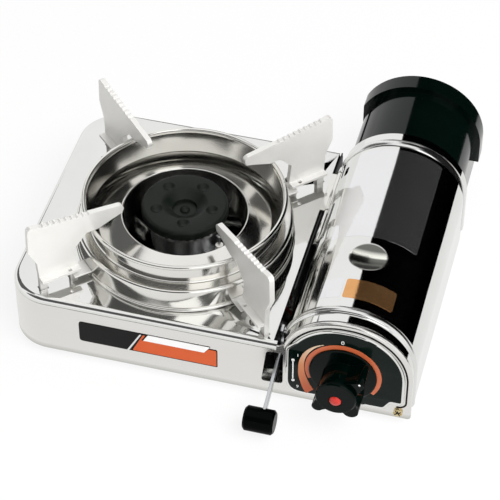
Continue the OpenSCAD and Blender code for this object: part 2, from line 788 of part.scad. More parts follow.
module cap_outline(r) {
  intersection() {
    union() {
      circle(r, $fn = 96);
      translate([-r, -bay_z]) square([2 * r, bay_z]);
    }
    translate([-cap_r, cap_low - bay_z]) square([2 * cap_r + 20, 2 * r]);
  }
}

module tail_cap() {
  color([0.12, 0.12, 0.13]) placed() translate([bay_x, 0, bay_z]) difference() {
    union() {
      front_profile(cap_y0, cap_end) cap_outline(cap_r);
      front_profile(cap_end - flange_w, cap_end) intersection() {
        cap_outline(flange_r);
        translate([-2 * cap_r, flange_low - bay_z]) square([4 * cap_r, 3 * cap_r]);
      }
    }
    front_profile(cap_y0 - 1, cap_end - 2.5) {
      circle(cap_inner, $fn = 96);
      translate([-cap_inner, -cap_r - 1]) square([2 * cap_inner, cap_r + 1]);
    }
    // Guide slot in the left flank
    translate([-cap_r - 2, cap_y0 + 12, 20]) cube([14, 66, 3]);
    // Step inside the flange, so its rim stands round a recessed end wall
    translate([0, 0, 0]) along_y(cap_r - 3, cap_end - 1, cap_end + 1);
  }
}

// ---- Knob ----

skirt_y = -plate_t - scale_t - 0.2;
skirt_t = 1.8;
disc_t = 2.8;
// Fins of the grip: angle, reach and half width of the tip; the first is the pointer
fins = [[40, skirt_r - 0.4, 3.1], [-53, skirt_r - 1.2, 5.2], [-131, skirt_r - 0.2, 3.8]];

module fin_outline(fin) {
  root = knob_r - 3;
  tip = fin[1] - fin[2];
  rotate([0, 0, fin[0]]) {
    polygon([[0, -root], [tip, -fin[2]], [tip, fin[2]], [0, root]]);
    translate([tip, 0]) circle(fin[2]);
  }
}

module control_knob() {
  front = knob_reach;
  back = -skirt_y;
  color([0.1, 0.1, 0.11]) placed() translate([bay_x, 0, bay_z]) difference() {
    union() {
      rotate([90, 0, 0]) rotate_extrude($fn = 96) polygon([[0, back], [skirt_r, back], [skirt_r, back + 1],
        [skirt_r - 1, back + skirt_t], [knob_r - 0.6, back + skirt_t + 0.6], [knob_r - 0.8, front - disc_t],
        [knob_r, front - disc_t + 0.4], [knob_r, front - 0.8], [knob_r - 0.8, front], [0, front]]);
      front_profile(disc_t + 0.4 - front, skirt_y - skirt_t + eps) for (fin = fins) fin_outline(fin);
    }
    along_y(spindle_r, 6 - front, 0);
    translate([0, 0, -insert_drop]) along_y(insert_r + 0.3, -front - 1, 0.8 - front);
  }
}

module knob_insert() {
  color("red") placed() translate([bay_x, 0, bay_z - insert_drop]) rotate([90, 0, 0]) rotate_extrude() polygon([
    [0, knob_reach - 0.8], [insert_r, knob_reach - 0.8], [insert_r - 0.2, knob_reach + 0.1], [insert_r - 1.3, knob_reach + 1],
    [insert_r - 2.6, knob_reach + 1.4], [0, knob_reach + 1.6]]);
}

module valve_spindle() {
  color("lightgray") placed() translate([bay_x, 0, bay_z]) along_y(spindle_r, -knob_reach + 6, bracket_y - 8);
}

// ---- Lever and carriage ----

pivot_y = 25;
pivot_z = base_z + 26.4;
pivot_r = 2.5;
arm_t = 2.2;
arm_x = slot_x + 0.2;
arm_w = 5;
crank_r = 12;
crank_a = 19;
finger = [pivot_y - crank_r * sin(crank_a), pivot_z + crank_r * cos(crank_a)];
finger_r = 2;
lug_x = arm_x + arm_t + 2.6;
lug_t = 2;

module strip(a, b, w) {
  d = b - a;
  translate(a) rotate([0, 0, atan2(d[1], d[0])]) translate([0, -w / 2]) square([norm(d), w]);
  translate(a) circle(w / 2);
  translate(b) circle(w / 2);
}

// Straight link from a to b that runs on past b
module link(a, b, w, over) {
  d = b - a;
  translate(a) rotate([0, 0, atan2(d[1], d[0])]) translate([0, -w / 2]) square([norm(d) + over, w]);
}

module lever_arm() {
  knob_point = [-lever_reach, lever_low_z];
  color("whitesmoke") placed() {
    difference() {
      side_profile(arm_x, arm_x + arm_t) {
        link([pivot_y, pivot_z], knob_point, arm_w, 1.5);
        link([pivot_y, pivot_z], finger, arm_w, 2.8);
        translate([pivot_y, pivot_z]) circle(5);
      }
      translate([0, pivot_y, pivot_z]) along_x(pivot_r + fit_gap, arm_x - 1, arm_x + arm_t + 1);
    }
    translate([0, finger[0], finger[1]]) along_x(finger_r, arm_x + 0.8, lug_x + lug_t + 0.6);
  }
}

module lever_knob() {
  color([0.1, 0.1, 0.11]) placed() translate([arm_x + arm_t / 2 - 1.6, -lever_reach, lever_low_z]) difference() {
    rotate([0, 90, 0]) rotate_extrude() polygon([[0, -lever_knob_w / 2], [lever_knob_r - 1.4, -lever_knob_w / 2],
      [lever_knob_r, -lever_knob_w / 2 + 1.4], [lever_knob_r, lever_knob_w / 2 - 1.4], [lever_knob_r - 1.4, lever_knob_w / 2],
      [0, lever_knob_w / 2]]);
    translate([1.6 - arm_t / 2, -arm_w / 2, -arm_w / 2 - 1]) cube([arm_t, lever_knob_r + arm_w, arm_w + 6]);
  }
}

module lever_bracket() {
  x1 = arm_x - 2.4;
  color("silver") placed() difference() {
    union() {
      translate([x1 - 1.5, pivot_y - 5, floor_z]) cube([1.5, 10, pivot_z + 5 - floor_z]);
      translate([x1 - 9, pivot_y - 5, floor_z]) cube([9, 10, 1.2]);
    }
    translate([0, pivot_y, pivot_z]) along_x(pivot_r, x1 - 3, x1 + 1);
  }
}

module lever_pin() {
  x1 = arm_x - 2.4;
  color("gray") placed() translate([0, pivot_y, pivot_z]) {
    along_x(pivot_r, x1 - 2, arm_x + arm_t + 0.4);
    along_x(pivot_r + 1.2, arm_x + arm_t + 0.4, arm_x + arm_t + 1.4);
    along_x(pivot_r + 1.2, x1 - 3, x1 - 1.5);
    along_x(pivot_r + 1.2, x1, arm_x - 0.4);
  }
}

fork_y = 44;
fork_t = 2;
fork_r = cartridge_r - 6;
fork_low = floor_z + 1.7;

module cartridge_carriage() {
  color("lightsteelblue") placed() difference() {
    union() {
      front_profile(fork_y, fork_y + fork_t) difference() {
        translate([bay_x - fork_r - 5.5, fork_low]) square([2 * fork_r + 11, cartridge_z + 8 - fork_low]);
        translate([bay_x, cartridge_z]) circle(fork_r);
        translate([bay_x - fork_r, cartridge_z]) square([2 * fork_r, 40]);
      }
      translate([bay_x - 21, fork_y - 4, fork_low]) cube([42, 8 + fork_t, 1.6]);
      translate([lug_x, fork_y, finger[1] - 4.6]) cube([bay_x - fork_r - 5 - lug_x, fork_t, 8.6]);
      translate([lug_x, finger[0] - 4.6, finger[1] - 4.6]) cube([lug_t, fork_y + fork_t - finger[0] + 4.6, 8.6]);
    }
    side_profile(lug_x - 1, lug_x + lug_t + 1) strip([finger[0], finger[1] - 0.4], [finger[0], finger[1] + 1.1], 2 * finger_r + 0.5);
  }
}

module carriage_rails() {
  color("silver") placed() for (s = [-1, 1]) translate([bay_x + 16 * s - 2, fork_y - 6, floor_z])
    cube([4, 24, fork_low - slip - floor_z]);
}

// ---- Wind ring and pan supports ----

grate_gap = 0.2;
rim_bead = 1.5;
foot_bead = 1.3;

module wind_ring() {
  t = 0.8;
  low = grate_gap + foot_bead;
  rim_z = ring_h - rim_bead;
  color("lightgray") placed() translate([burner_x, burner_y, deck_z]) rotate_extrude($fn = 128) {
    polygon([[ring_r, low], [ring_r, ring_step_h - 1.6], [ring_r - 1.6, ring_step_h], [ring_neck_r, ring_step_h],
      [ring_neck_r, ring_step_h + 1], [ring_rim_r - rim_bead + 0.5, rim_z], [ring_rim_r - rim_bead + 0.5 - t, rim_z],
      [ring_neck_r - t, ring_step_h + 1], [ring_neck_r - t, ring_step_h - t], [ring_r - 2, ring_step_h - t],
      [ring_r - t, ring_step_h - 2], [ring_r - t, low]]);
    translate([ring_r - 0.2, low]) circle(foot_bead, $fn = 32);
    translate([ring_rim_r, rim_z]) circle(rim_bead, $fn = 32);
  }
}

support_low = 11;
tooth_pitch = (support_r - 8 - 68) / tooth_count;
top_slope = (support_h - support_tip_h) / (support_r - support_tip_r);
function top_at(r) = support_tip_h + top_slope * (r - support_tip_r);

// Side outline of a support in (radius, height over the deck)
module support_outline() {
  rim_top = ring_h + 0.1;
  wall_r = ring_rim_r + rim_bead + 1.6;
  difference() {
    union() {
      polygon([[support_tip_r + 1, 42], [support_tip_r + 2.4, support_tip_h], [support_r - 2.6, top_at(support_r - 2.6)],
        [support_r, top_at(support_r) - 3], [support_r + 0.7, support_h - 20], [support_r - 4.6, support_h - 32],
        [support_r - 5.5, support_low], [leg_in_r - 1, support_low], [leg_in_r + 0.6, 26], [wall_r + 2, rim_top],
        [ring_rim_r - 3, rim_top], [52, 40]]);
      translate([support_r - 2.8, top_at(support_r) - 3]) circle(2.8);
      translate([support_tip_r + 3.4, support_tip_h - 3.2]) circle(3.2);
      for (r = [leg_in_r, leg_out_r]) translate([r, -4]) square([leg_w, support_low + 4 + eps]);
    }
    for (k = [0:tooth_count - 1]) translate([68 + (k + 0.5) * tooth_pitch, top_at(68 + (k + 0.5) * tooth_pitch) + 0.5])
      circle(1.5, $fn = 24);
  }
}

module pan_support(a, side) {
  color("gainsboro") placed() translate([burner_x, burner_y, deck_z]) rotate([0, 0, a]) difference() {
    union() {
      translate([0, support_t / 2, 0]) rotate([90, 0, 0]) linear_extrude(support_t) support_outline();
      translate([leg_in_r - 1, side > 0 ? 0 : -6.5, support_low - 1.8]) cube([leg_out_r + leg_w - leg_in_r + 1, 6.5, 1.8]);
    }
    translate([leg_in_r + 6, side * 4.2, 0]) cylinder(h = 20, r = 1.4);
  }
}

module pan_support_front_left() { pan_support(support_angles[0], 1); }
module pan_support_front_right() { pan_support(support_angles[1], -1); }
module pan_support_back_left() { pan_support(support_angles[2], 1); }
module pan_support_back_right() { pan_support(support_angles[3], -1); }

// Clips that tie the ring's lower wall to the supports' feet
module support_clips() {
  color("silver") placed() for (a = support_angles) translate([burner_x, burner_y, deck_z]) rotate([0, 0, a])
    difference() {
      union() {
        translate([ring_r - 1, -6, 3.4]) cube([leg_in_r + 5 - ring_r, 12, 1.4]);
      }
      translate([0, 0, -1]) cylinder(h = 20, r = ring_r + 0.02, $fn = 128);
      translate([leg_in_r - 0.01, -support_t / 2 - 0.01, 0]) cube([12, support_t + 0.02, 12]);
    }
}

case_shell();
deck_plate();
base_plate();
rubber_feet();
control_plate();
dial_scale();
case_screws();
partition_wall();
cartridge_tray();
cap_rails();
valve_bracket();
valve_body();
cartridge_seat();
seal_ring();
locator_plate();
pressure_regulator();
igniter_unit();
igniter_lead();
electrode_insulator();
electrode_tip();
jet_block();
gas_jet();
mixing_tube();
burner_base();
port_ring();
burner_head();
drip_dish();
hinge_bracket();
hinge_pin();
lever_bracket();
lever_pin();
carriage_rails();
lever_arm();
lever_knob();
cartridge_carriage();
control_knob();
knob_insert();
valve_spindle();
cartridge_lid();
tail_cap();
wind_ring();
pan_support_front_left();
pan_support_front_right();
pan_support_back_left();
pan_support_back_right();
support_clips();
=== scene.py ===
import json
import math

import bmesh
import bpy
from mathutils import Matrix, Vector


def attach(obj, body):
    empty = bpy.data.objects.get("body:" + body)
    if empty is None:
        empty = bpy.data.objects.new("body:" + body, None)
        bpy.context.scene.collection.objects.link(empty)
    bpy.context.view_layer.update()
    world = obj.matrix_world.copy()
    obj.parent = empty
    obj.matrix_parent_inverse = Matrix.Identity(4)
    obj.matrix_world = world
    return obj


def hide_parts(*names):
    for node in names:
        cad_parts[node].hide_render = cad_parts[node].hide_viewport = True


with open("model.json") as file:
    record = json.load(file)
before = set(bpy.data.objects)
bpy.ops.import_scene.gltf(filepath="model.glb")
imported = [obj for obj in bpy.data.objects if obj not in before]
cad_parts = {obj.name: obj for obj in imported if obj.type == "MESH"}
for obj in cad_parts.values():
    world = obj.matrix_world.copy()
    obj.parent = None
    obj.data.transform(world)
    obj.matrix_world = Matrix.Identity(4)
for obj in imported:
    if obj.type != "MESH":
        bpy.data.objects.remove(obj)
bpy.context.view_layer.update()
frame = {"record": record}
print("stove: CAD frame loaded")

lens = {
    "target": (-0.006591, 0.034469, -0.007),
    "azimuth": 14.754,      # degrees to the right of straight ahead
    "elevation": 44.483,
    "roll": 0.165,
    "distance": 1.472529,
    "length": 151.2,        # mm on a 36 mm sensor
}


def placeCamera():
    turn, rise = math.radians(lens["azimuth"]), math.radians(lens["elevation"])
    back = Vector((math.sin(turn) * math.cos(rise), -math.cos(turn) * math.cos(rise), math.sin(rise)))
    side = (-back).cross(Vector((0, 0, 1))).normalized()
    top = side.cross(-back)
    roll = math.radians(lens["roll"])
    side, top = side * math.cos(roll) + top * math.sin(roll), top * math.cos(roll) - side * math.sin(roll)
    data = bpy.data.cameras.new("stoveCamera")
    data.lens = lens["length"]
    data.sensor_width = 36
    data.clip_start, data.clip_end = 0.05, 30
    camera = bpy.data.objects.new("stoveCamera", data)
    spot = Vector(lens["target"]) + back * lens["distance"]
    facing = Matrix((side, top, back)).transposed().to_4x4()
    camera.matrix_world = Matrix.Translation(spot) @ facing
    bpy.context.scene.collection.objects.link(camera)
    bpy.context.scene.camera = camera


placeCamera()
print("stove: camera placed")


def startMaterial(name, color, metal, rough):
    material = bpy.data.materials.new(name)
    material.use_nodes = True
    material.diffuse_color = (*color, 1)
    shader = material.node_tree.nodes["Principled BSDF"]
    shader.inputs["Base Color"].default_value = (*color, 1)
    shader.inputs["Metallic"].default_value = metal
    shader.inputs["Roughness"].default_value = rough
    return material, material.node_tree.nodes, material.node_tree.links, shader


def grainOf(nodes, links, scale, stretch=(1, 1, 1), detail=3):
    place = nodes.new("ShaderNodeTexCoord")
    shape = nodes.new("ShaderNodeMapping")
    shape.inputs["Scale"].default_value = stretch
    grain = nodes.new("ShaderNodeTexNoise")
    grain.inputs["Scale"].default_value = scale
    grain.inputs["Detail"].default_value = detail
    links.new(place.outputs["Object"], shape.inputs["Vector"])
    links.new(shape.outputs["Vector"], grain.inputs["Vector"])
    return grain.outputs["Fac"]


def between(nodes, links, value, low, high, start=0.3, stop=0.7):
    span = nodes.new("ShaderNodeMapRange")
    span.inputs["From Min"].default_value = start
    span.inputs["From Max"].default_value = stop
    span.inputs["To Min"].default_value = low
    span.inputs["To Max"].default_value = high
    links.new(value, span.inputs["Value"])
    return span.outputs["Result"]


def ramped(nodes, links, value, tones):      # tones: (place from 0 to 1, colour)
    ramp = nodes.new("ShaderNodeValToRGB")
    while len(ramp.color_ramp.elements) < len(tones):
        ramp.color_ramp.elements.new(0.5)
    for k, (at, tone) in enumerate(tones):
        ramp.color_ramp.elements[k].position = at
        ramp.color_ramp.elements[k].color = (*tone, 1)
    links.new(value, ramp.inputs["Fac"])
    return ramp.outputs["Color"]


def blended(nodes, links, amount, first, second):      # colours: a socket, or a plain one
    mix = nodes.new("ShaderNodeMix")
    mix.data_type = "RGBA"
    links.new(amount, mix.inputs["Factor"])
    for key, value in (("A", first), ("B", second)):
        if isinstance(value, tuple):
            mix.inputs[key].default_value = (*value, 1)
        else:
            links.new(value, mix.inputs[key])
    return mix.outputs["Result"]


def apartOf(nodes, links, kind="Object"):
    place, apart = nodes.new("ShaderNodeTexCoord"), nodes.new("ShaderNodeSeparateXYZ")
    links.new(place.outputs[kind], apart.inputs["Vector"])
    return apart.outputs


def reckoned(nodes, links, kind, first, second):
    step = nodes.new("ShaderNodeMath")
    step.operation = kind
    for socket, value in zip(step.inputs, (first, second)):
        if isinstance(value, float):
            socket.default_value = value
        else:
            links.new(value, socket)
    return step.outputs["Value"]


def rayOf(nodes, links, *kinds):        # one for a ray of any of these kinds
    path = nodes.new("ShaderNodeLightPath")
    found = path.outputs[kinds[0]]
    for kind in kinds[1:]:
        found = reckoned(nodes, links, "MAXIMUM", found, path.outputs[kind])
    return found


def raised(nodes, links, value, depth, under=None):
    bump = nodes.new("ShaderNodeBump")
    bump.inputs["Strength"].default_value = 1.0
    bump.inputs["Distance"].default_value = depth
    links.new(value, bump.inputs["Height"])
    if under is not None:
        links.new(under, bump.inputs["Normal"])
    return bump.outputs["Normal"]


waveScale = 14      # of the slow waves in thin sheet


# patches of a second tone, uneven gloss and a fine grain
def finish(name, color, metal, rough, other=None, patch=30, spread=0.03, grain=900, depth=0.00002, wave=0.0,
           stretch=(1, 1, 1), shine=0.5):
    material, nodes, links, shader = startMaterial(name, color, metal, rough)
    shader.inputs["Specular IOR Level"].default_value = shine
    patches = grainOf(nodes, links, patch, stretch)
    if other is not None:
        links.new(ramped(nodes, links, patches, ((0.3, color), (0.7, other))), shader.inputs["Base Color"])
    links.new(between(nodes, links, patches, rough - spread, rough + spread), shader.inputs["Roughness"])
    normal = raised(nodes, links, grainOf(nodes, links, grain, stretch), depth)
    if wave:
        normal = raised(nodes, links, grainOf(nodes, links, waveScale, detail=1), wave, under=normal)
    links.new(normal, shader.inputs["Normal"])
    return material


# a colour that fades upwards, from height low to high
def fading(name, tones, low, high, rough):
    material, nodes, links, shader = startMaterial(name, tones[0], 0.0, rough)
    share = between(nodes, links, apartOf(nodes, links)["Z"], 0.0, 1.0, low, high)
    spaced = [(k / (len(tones) - 1), tone) for k, tone in enumerate(tones)]
    links.new(ramped(nodes, links, share, spaced), shader.inputs["Base Color"])
    links.new(raised(nodes, links, grainOf(nodes, links, 900), 0.00001), shader.inputs["Normal"])
    return material


# painted reflection in the dimple: tones from its front to its back, dark but for a bright band
dimpleReflectionTones = ((0.0, 0.9), (0.10, 0.28), (0.40, 0.10), (0.55, 0.20), (0.60, 1.0), (0.67, 0.9), (0.80, 0.16))


# a polished sheet, duller on the beads pressed into it and in its dimple, with a painted reflection laid into the
# dimple's colour
# beads: y and half width; dimple: x, y and half sizes
def pressedSheet(name, color, other, rough, dull, beads, dimple):
    material = finish(name, color, 1.0, rough, other, spread=0.02, grain=500, depth=0.000004, wave=0.0005)
    nodes, links = material.node_tree.nodes, material.node_tree.links
    shader = nodes["Principled BSDF"]
    apart = apartOf(nodes, links)

    def calc(kind, first, second):
        return reckoned(nodes, links, kind, first, second)

    duller = None
    for y, half in beads:
        off = calc("ABSOLUTE", calc("SUBTRACT", apart["Y"], y), 0.0)
        band = between(nodes, links, off, 1.0, 0.0, half * 0.85, half * 1.15)
        duller = band if duller is None else calc("MAXIMUM", duller, band)
    x, y, halfX, halfY = dimple
    across = calc("DIVIDE", calc("SUBTRACT", apart["X"], x), halfX)
    along = calc("DIVIDE", calc("SUBTRACT", apart["Y"], y), halfY)
    far = calc("ADD", calc("MULTIPLY", across, across), calc("MULTIPLY", along, along))
    duller = calc("MAXIMUM", duller, between(nodes, links, far, 1.0, 0.0, 0.9, 1.1))
    links.new(between(nodes, links, duller, rough, dull, 0.0, 1.0), shader.inputs["Roughness"])
    # painted reflection: the dimple's base colour runs through these dark and bright tones
    paintedReflection = ramped(nodes, links, between(nodes, links, along, 0.0, 1.0, -1.0, 1.0),
                   [(at, (tone, tone, tone * 0.92)) for at, tone in dimpleReflectionTones])
    plain = shader.inputs["Base Color"].links[0].from_socket
    inDimple = between(nodes, links, far, 1.0, 0.0, 0.86, 1.0)
    links.new(blended(nodes, links, inDimple, plain, paintedReflection), shader.inputs["Base Color"])
    return material


# painted shade: the base colour darkens to tone below height low
def paintedShadeFoot(material, tone, low, high):      # darker below height low
    nodes, links = material.node_tree.nodes, material.node_tree.links
    color = nodes["Principled BSDF"].inputs["Base Color"]
    share = between(nodes, links, apartOf(nodes, links)["Z"], 0.0, 1.0, low, high)
    links.new(blended(nodes, links, share, tone, color.links[0].from_socket), color)
    return material


finishes = {
    "lidSteel": pressedSheet("lidSteel", (0.77, 0.77, 0.755), (0.81, 0.81, 0.795), 0.05, 0.20,
                             ((-0.0899, 0.0024), (0.0711, 0.0034)), (0.0914, -0.0406, 0.0131, 0.0122)),
    "stainless": finish("polishedSteel", (0.77, 0.77, 0.755), 1.0, 0.06, (0.81, 0.81, 0.795), spread=0.02,
                        grain=500, depth=0.000004, wave=0.0005),
    # the shell's foot gets painted shade, a darker tone below 8.5 mm
    "satinShell": paintedShadeFoot(finish("satinShell", (0.79, 0.78, 0.755), 1.0, 0.24, (0.82, 0.81, 0.79), patch=40,
                                    spread=0.03, grain=2200, depth=0.000008, stretch=(0.1, 1, 1)),
                             (0.58, 0.575, 0.55), 0.0085, 0.0125),
    "satin_cast": finish("satinSteel", (0.83, 0.82, 0.79), 0.40, 0.42, (0.87, 0.86, 0.835), patch=60, spread=0.05,
                         grain=1600, depth=0.00003),
    "zinc_plate": finish("zincPlate", (0.56, 0.58, 0.60), 1.0, 0.30, (0.66, 0.67, 0.68), patch=90, spread=0.08),
    "ringSteel": finish("ringSteel", (0.78, 0.77, 0.735), 1.0, 0.14, (0.82, 0.81, 0.775), spread=0.03, grain=500,
                        depth=0.000004),
    # painted shade: near-black steel for inner parts that sit in shade
    "paintedShadeSteel": finish("paintedShadeSteel", (0.035, 0.037, 0.036), 0.7, 0.35, (0.05, 0.052, 0.05), patch=90, spread=0.06),
    "black_plastic": finish("blackPlastic", (0.0006, 0.003, 0.002), 0.0, 0.10, (0.001, 0.004, 0.003), spread=0.03,
                            grain=1200, depth=0.000006, shine=0.3),
    "knobPlastic": finish("knobPlastic", (0.0, 0.0022, 0.0016), 0.0, 0.14, (0.0, 0.0030, 0.0022), spread=0.04,
                          grain=1300, depth=0.000006, shine=0.12),
    "leverPlastic": finish("leverPlastic", (0.0008, 0.001, 0.001), 0.0, 0.2, (0.001, 0.0014, 0.0014), spread=0.04,
                           grain=1300, depth=0.000006, shine=0.03),
    "black_enamel": finish("blackEnamel", (0.002, 0.006, 0.0045), 0.0, 0.12, (0.003, 0.008, 0.006), patch=120,
                           spread=0.04, grain=1400, depth=0.000008, shine=0.14),
    "castIron": finish("castIron", (0.005, 0.007, 0.005), 0.0, 0.38, (0.008, 0.010, 0.008), patch=160,
                       spread=0.08, grain=1800, depth=0.00006, shine=0.2),
    "orange_print": finish("orangePrint", (0.56, 0.125, 0.045), 0.0, 0.35, (0.60, 0.14, 0.055)),
    "badgeOrange": finish("badgeOrange", (0.63, 0.10, 0.024), 0.0, 0.35, (0.67, 0.115, 0.03), shine=0.2),
    "dialFade": fading("dialFade", ((0.58, 0.11, 0.03), (0.64, 0.24, 0.10), (0.74, 0.58, 0.42)), 0.020, 0.062, 0.35),
    # white print; its dot on the knob is a painted highlight
    "whitePrintAndHighlight": finish("whitePrintAndHighlight", (0.90, 0.90, 0.89), 0.0, 0.4, (0.93, 0.93, 0.92)),
    # black print on the badge; also painted shade in the plate's groove and the screw's cross
    "blackPrintAndShade": finish("blackPrintAndShade", (0.004, 0.004, 0.004), 0.0, 0.18, (0.007, 0.006, 0.006), shine=0.14),
    "labelFilm": finish("labelFilm", (0.80, 0.80, 0.81), 0.972, 0.07, (0.82, 0.82, 0.83), spread=0.02, grain=900,
                        depth=0.000004),
    "amberFilm": finish("amberFilm", (0.72, 0.36, 0.14), 0.92, 0.10, (0.78, 0.42, 0.18), patch=60),
    "red_plastic": finish("redPlastic", (0.50, 0.02, 0.012), 0.0, 0.12, (0.56, 0.03, 0.02)),
    "brass": finish("brass", (0.66, 0.52, 0.27), 1.0, 0.2, (0.80, 0.68, 0.42), patch=420, spread=0.06),
    "aluminium": finish("aluminium", (0.72, 0.73, 0.74), 1.0, 0.35, (0.80, 0.80, 0.81), patch=150, spread=0.08),
    "rubber": finish("rubber", (0.02, 0.02, 0.02), 0.0, 0.75, (0.035, 0.035, 0.035), grain=700, depth=0.00006),
    "ceramic": finish("ceramic", (0.82, 0.80, 0.76), 0.0, 0.35, (0.74, 0.71, 0.66), patch=200),
    "lead_jacket": finish("leadJacket", (0.030, 0.004, 0.003), 0.0, 0.5, (0.045, 0.006, 0.005), shine=0.1),
}

ownFinish = {      # nodes that don't take their slot's plain finish
    "case_shell": "satinShell", "burner_head": "castIron",
    "control_knob": "knobPlastic", "lever_knob": "leverPlastic",
    "hinge_pin": "ringSteel", "hinge_bracket": "ringSteel", "partition_wall": "paintedShadeSteel",
    "lever_bracket": "paintedShadeSteel", "lever_pin": "paintedShadeSteel", "igniter_unit": "paintedShadeSteel",
}
bpy.ops.object.select_all(action="DESELECT")
for row in frame["record"]["subparts"]:
    part = bpy.data.objects.get(row["node"])
    if part is None:
        continue
    part.data.materials.clear()
    part.data.materials.append(finishes[ownFinish.get(row["node"], row["material_slot"])])
print("stove: finishes on the CAD nodes")


def clearSelection():
    if bpy.context.object is not None and bpy.context.object.mode != "OBJECT":
        bpy.ops.object.mode_set(mode="OBJECT")
    bpy.ops.object.select_all(action="DESELECT")


def pick(obj):
    clearSelection()
    obj.select_set(True)
    bpy.context.view_layer.objects.active = obj


def applied(obj, kind, **values):
    pick(obj)
    extra = obj.modifiers.new(kind.title(), kind)
    for key, value in values.items():
        setattr(extra, key, value)
    bpy.ops.object.modifier_apply(modifier=extra.name)


def cutWith(obj, cutter):
    applied(obj, "BOOLEAN", object=cutter, operation="DIFFERENCE")
    bpy.data.objects.remove(cutter)


def mended(obj, near=0.000005):     # doubles merged, faces turned outwards
    pick(obj)
    bpy.ops.object.mode_set(mode="EDIT")
    bpy.ops.mesh.select_all(action="SELECT")
    bpy.ops.mesh.remove_doubles(threshold=near)
    bpy.ops.mesh.normals_make_consistent(inside=False)
    bpy.ops.object.mode_set(mode="OBJECT")


def merged(node):       # a merged copy of a CAD node
    source = bpy.data.objects[node]
    obj = source.copy()
    obj.data = source.data.copy()
    bpy.context.scene.collection.objects.link(obj)
    mended(obj, 0.00001)
    return obj


def fitted(obj, name, body, finishName, *nodes, angle=35, flats=False):
    pick(obj)
    bpy.ops.object.transform_apply(location=True, rotation=True, scale=True)
    bpy.ops.object.shade_smooth_by_angle(angle=math.radians(angle))
    if flats:       # the flat faces keep an even shade beside the rounded edges
        applied(obj, "WEIGHTED_NORMAL", keep_sharp=True, weight=80)
    obj.name = obj.data.name = name
    obj.data.materials.clear()
    obj.data.materials.append(finishes[finishName])
    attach(obj, body)
    if nodes:
        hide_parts(*nodes)
    return obj


def turned(outline, centre, count):
    # rings of (radius, height) one after another, closed on themselves
    clearSelection()
    x, y = centre
    bpy.ops.mesh.primitive_circle_add(vertices=count, radius=outline[0][0], location=(x, y, outline[0][1]),
                                      fill_type="NOTHING")
    obj = bpy.context.object
    bpy.ops.object.transform_apply(location=True)
    bpy.ops.object.mode_set(mode="EDIT")
    bpy.ops.mesh.select_all(action="SELECT")
    for (r0, z0), (r1, z1) in zip(outline, outline[1:] + outline[:1]):
        bpy.ops.mesh.extrude_region()
        bpy.ops.transform.resize(value=(r1 / r0, r1 / r0, 1), center_override=(x, y, z0))
        bpy.ops.transform.translate(value=(0, 0, z1 - z0))
    bpy.ops.object.mode_set(mode="OBJECT")
    mended(obj)
    return obj


def onCircle(centre, radius, turn):
    return centre[0] + radius * math.cos(math.radians(turn)), centre[1] + radius * math.sin(math.radians(turn))


def swung(centre, radius, first, last, count):
    return [onCircle(centre, radius, first + (last - first) * k / count) for k in range(count + 1)]


def arc(r, z, size, first, last, steps):     # points of a round edge
    return swung((r, z), size, first, last, steps)


def softened(node, width, segments, sharp=35):
    # a CAD node with its edges rounded
    obj = merged(node)
    pick(obj)
    bpy.ops.object.mode_set(mode="EDIT")
    bpy.ops.mesh.select_all(action="SELECT")
    bpy.ops.mesh.dissolve_limited(angle_limit=math.radians(0.6))
    bpy.ops.object.mode_set(mode="OBJECT")
    applied(obj, "BEVEL", width=width, segments=segments, limit_method="ANGLE", angle_limit=math.radians(sharp),
            use_clamp_overlap=True, miter_outer="MITER_ARC")
    return obj


mm = 0.001
sunk = 0.00002      # a flat piece goes so far into what carries it


def cornered(points, steps=5):
    # a closed outline of (x, z, radius) with its corners rounded
    out = []
    for i, point in enumerate(points):
        spot, radius = Vector(point[:2]), point[2]
        if radius <= 0:
            out.append(tuple(spot))
            continue
        before = (Vector(points[i - 1][:2]) - spot).normalized()
        after = (Vector(points[(i + 1) % len(points)][:2]) - spot).normalized()
        run = radius / math.tan(before.angle(after) / 2)
        for k in range(steps + 1):
            out.append(tuple(spot + run * ((1 - k / steps) ** 2 * before + (k / steps) ** 2 * after)))
    return out


def outlineCurve(outlines, flat):
    clearSelection()
    data = bpy.data.curves.new("outline", "CURVE")
    data.dimensions = "2D" if flat else "3D"
    for outline in outlines:
        line = data.splines.new("POLY")
        line.points.add(len(outline) - 1)
        for point, (across, up) in zip(line.points, outline):
            point.co = (across * mm, up * mm, 0, 1)
        line.use_cyclic_u = True
    obj = bpy.data.objects.new("outline", data)
    bpy.context.scene.collection.objects.link(obj)
    obj.rotation_euler = (math.pi / 2, 0, 0)
    return obj


def meshed(obj):
    pick(obj)
    bpy.ops.object.convert(target="MESH")
    obj = bpy.context.object
    mended(obj)
    return obj


def flatPiece(outlines, back, thick, edge=0.0):
    # outlines in (x, z), in mm, filled and standing before the plane y = back
    obj = outlineCurve(outlines, True)
    obj.data.fill_mode = "BOTH"
    obj.data.extrude = thick / 2 - edge
    obj.data.bevel_depth, obj.data.bevel_resolution, obj.data.offset = edge, 2, -edge
    obj.location = (0, back - thick / 2, 0)
    return meshed(obj)


def beadAlong(outline, back, radius):
    obj = outlineCurve([outline], False)
    obj.data.bevel_depth, obj.data.bevel_resolution = radius, 3
    obj.location = (0, back, 0)
    return meshed(obj)


print("stove: ways of making ready")

front = -0.1034             # the front panel's plane
bay = (0.091, 0.040)        # x, z of the cartridge bay's axis
burner = (-0.0363, -0.0210)
deckTop = 0.053

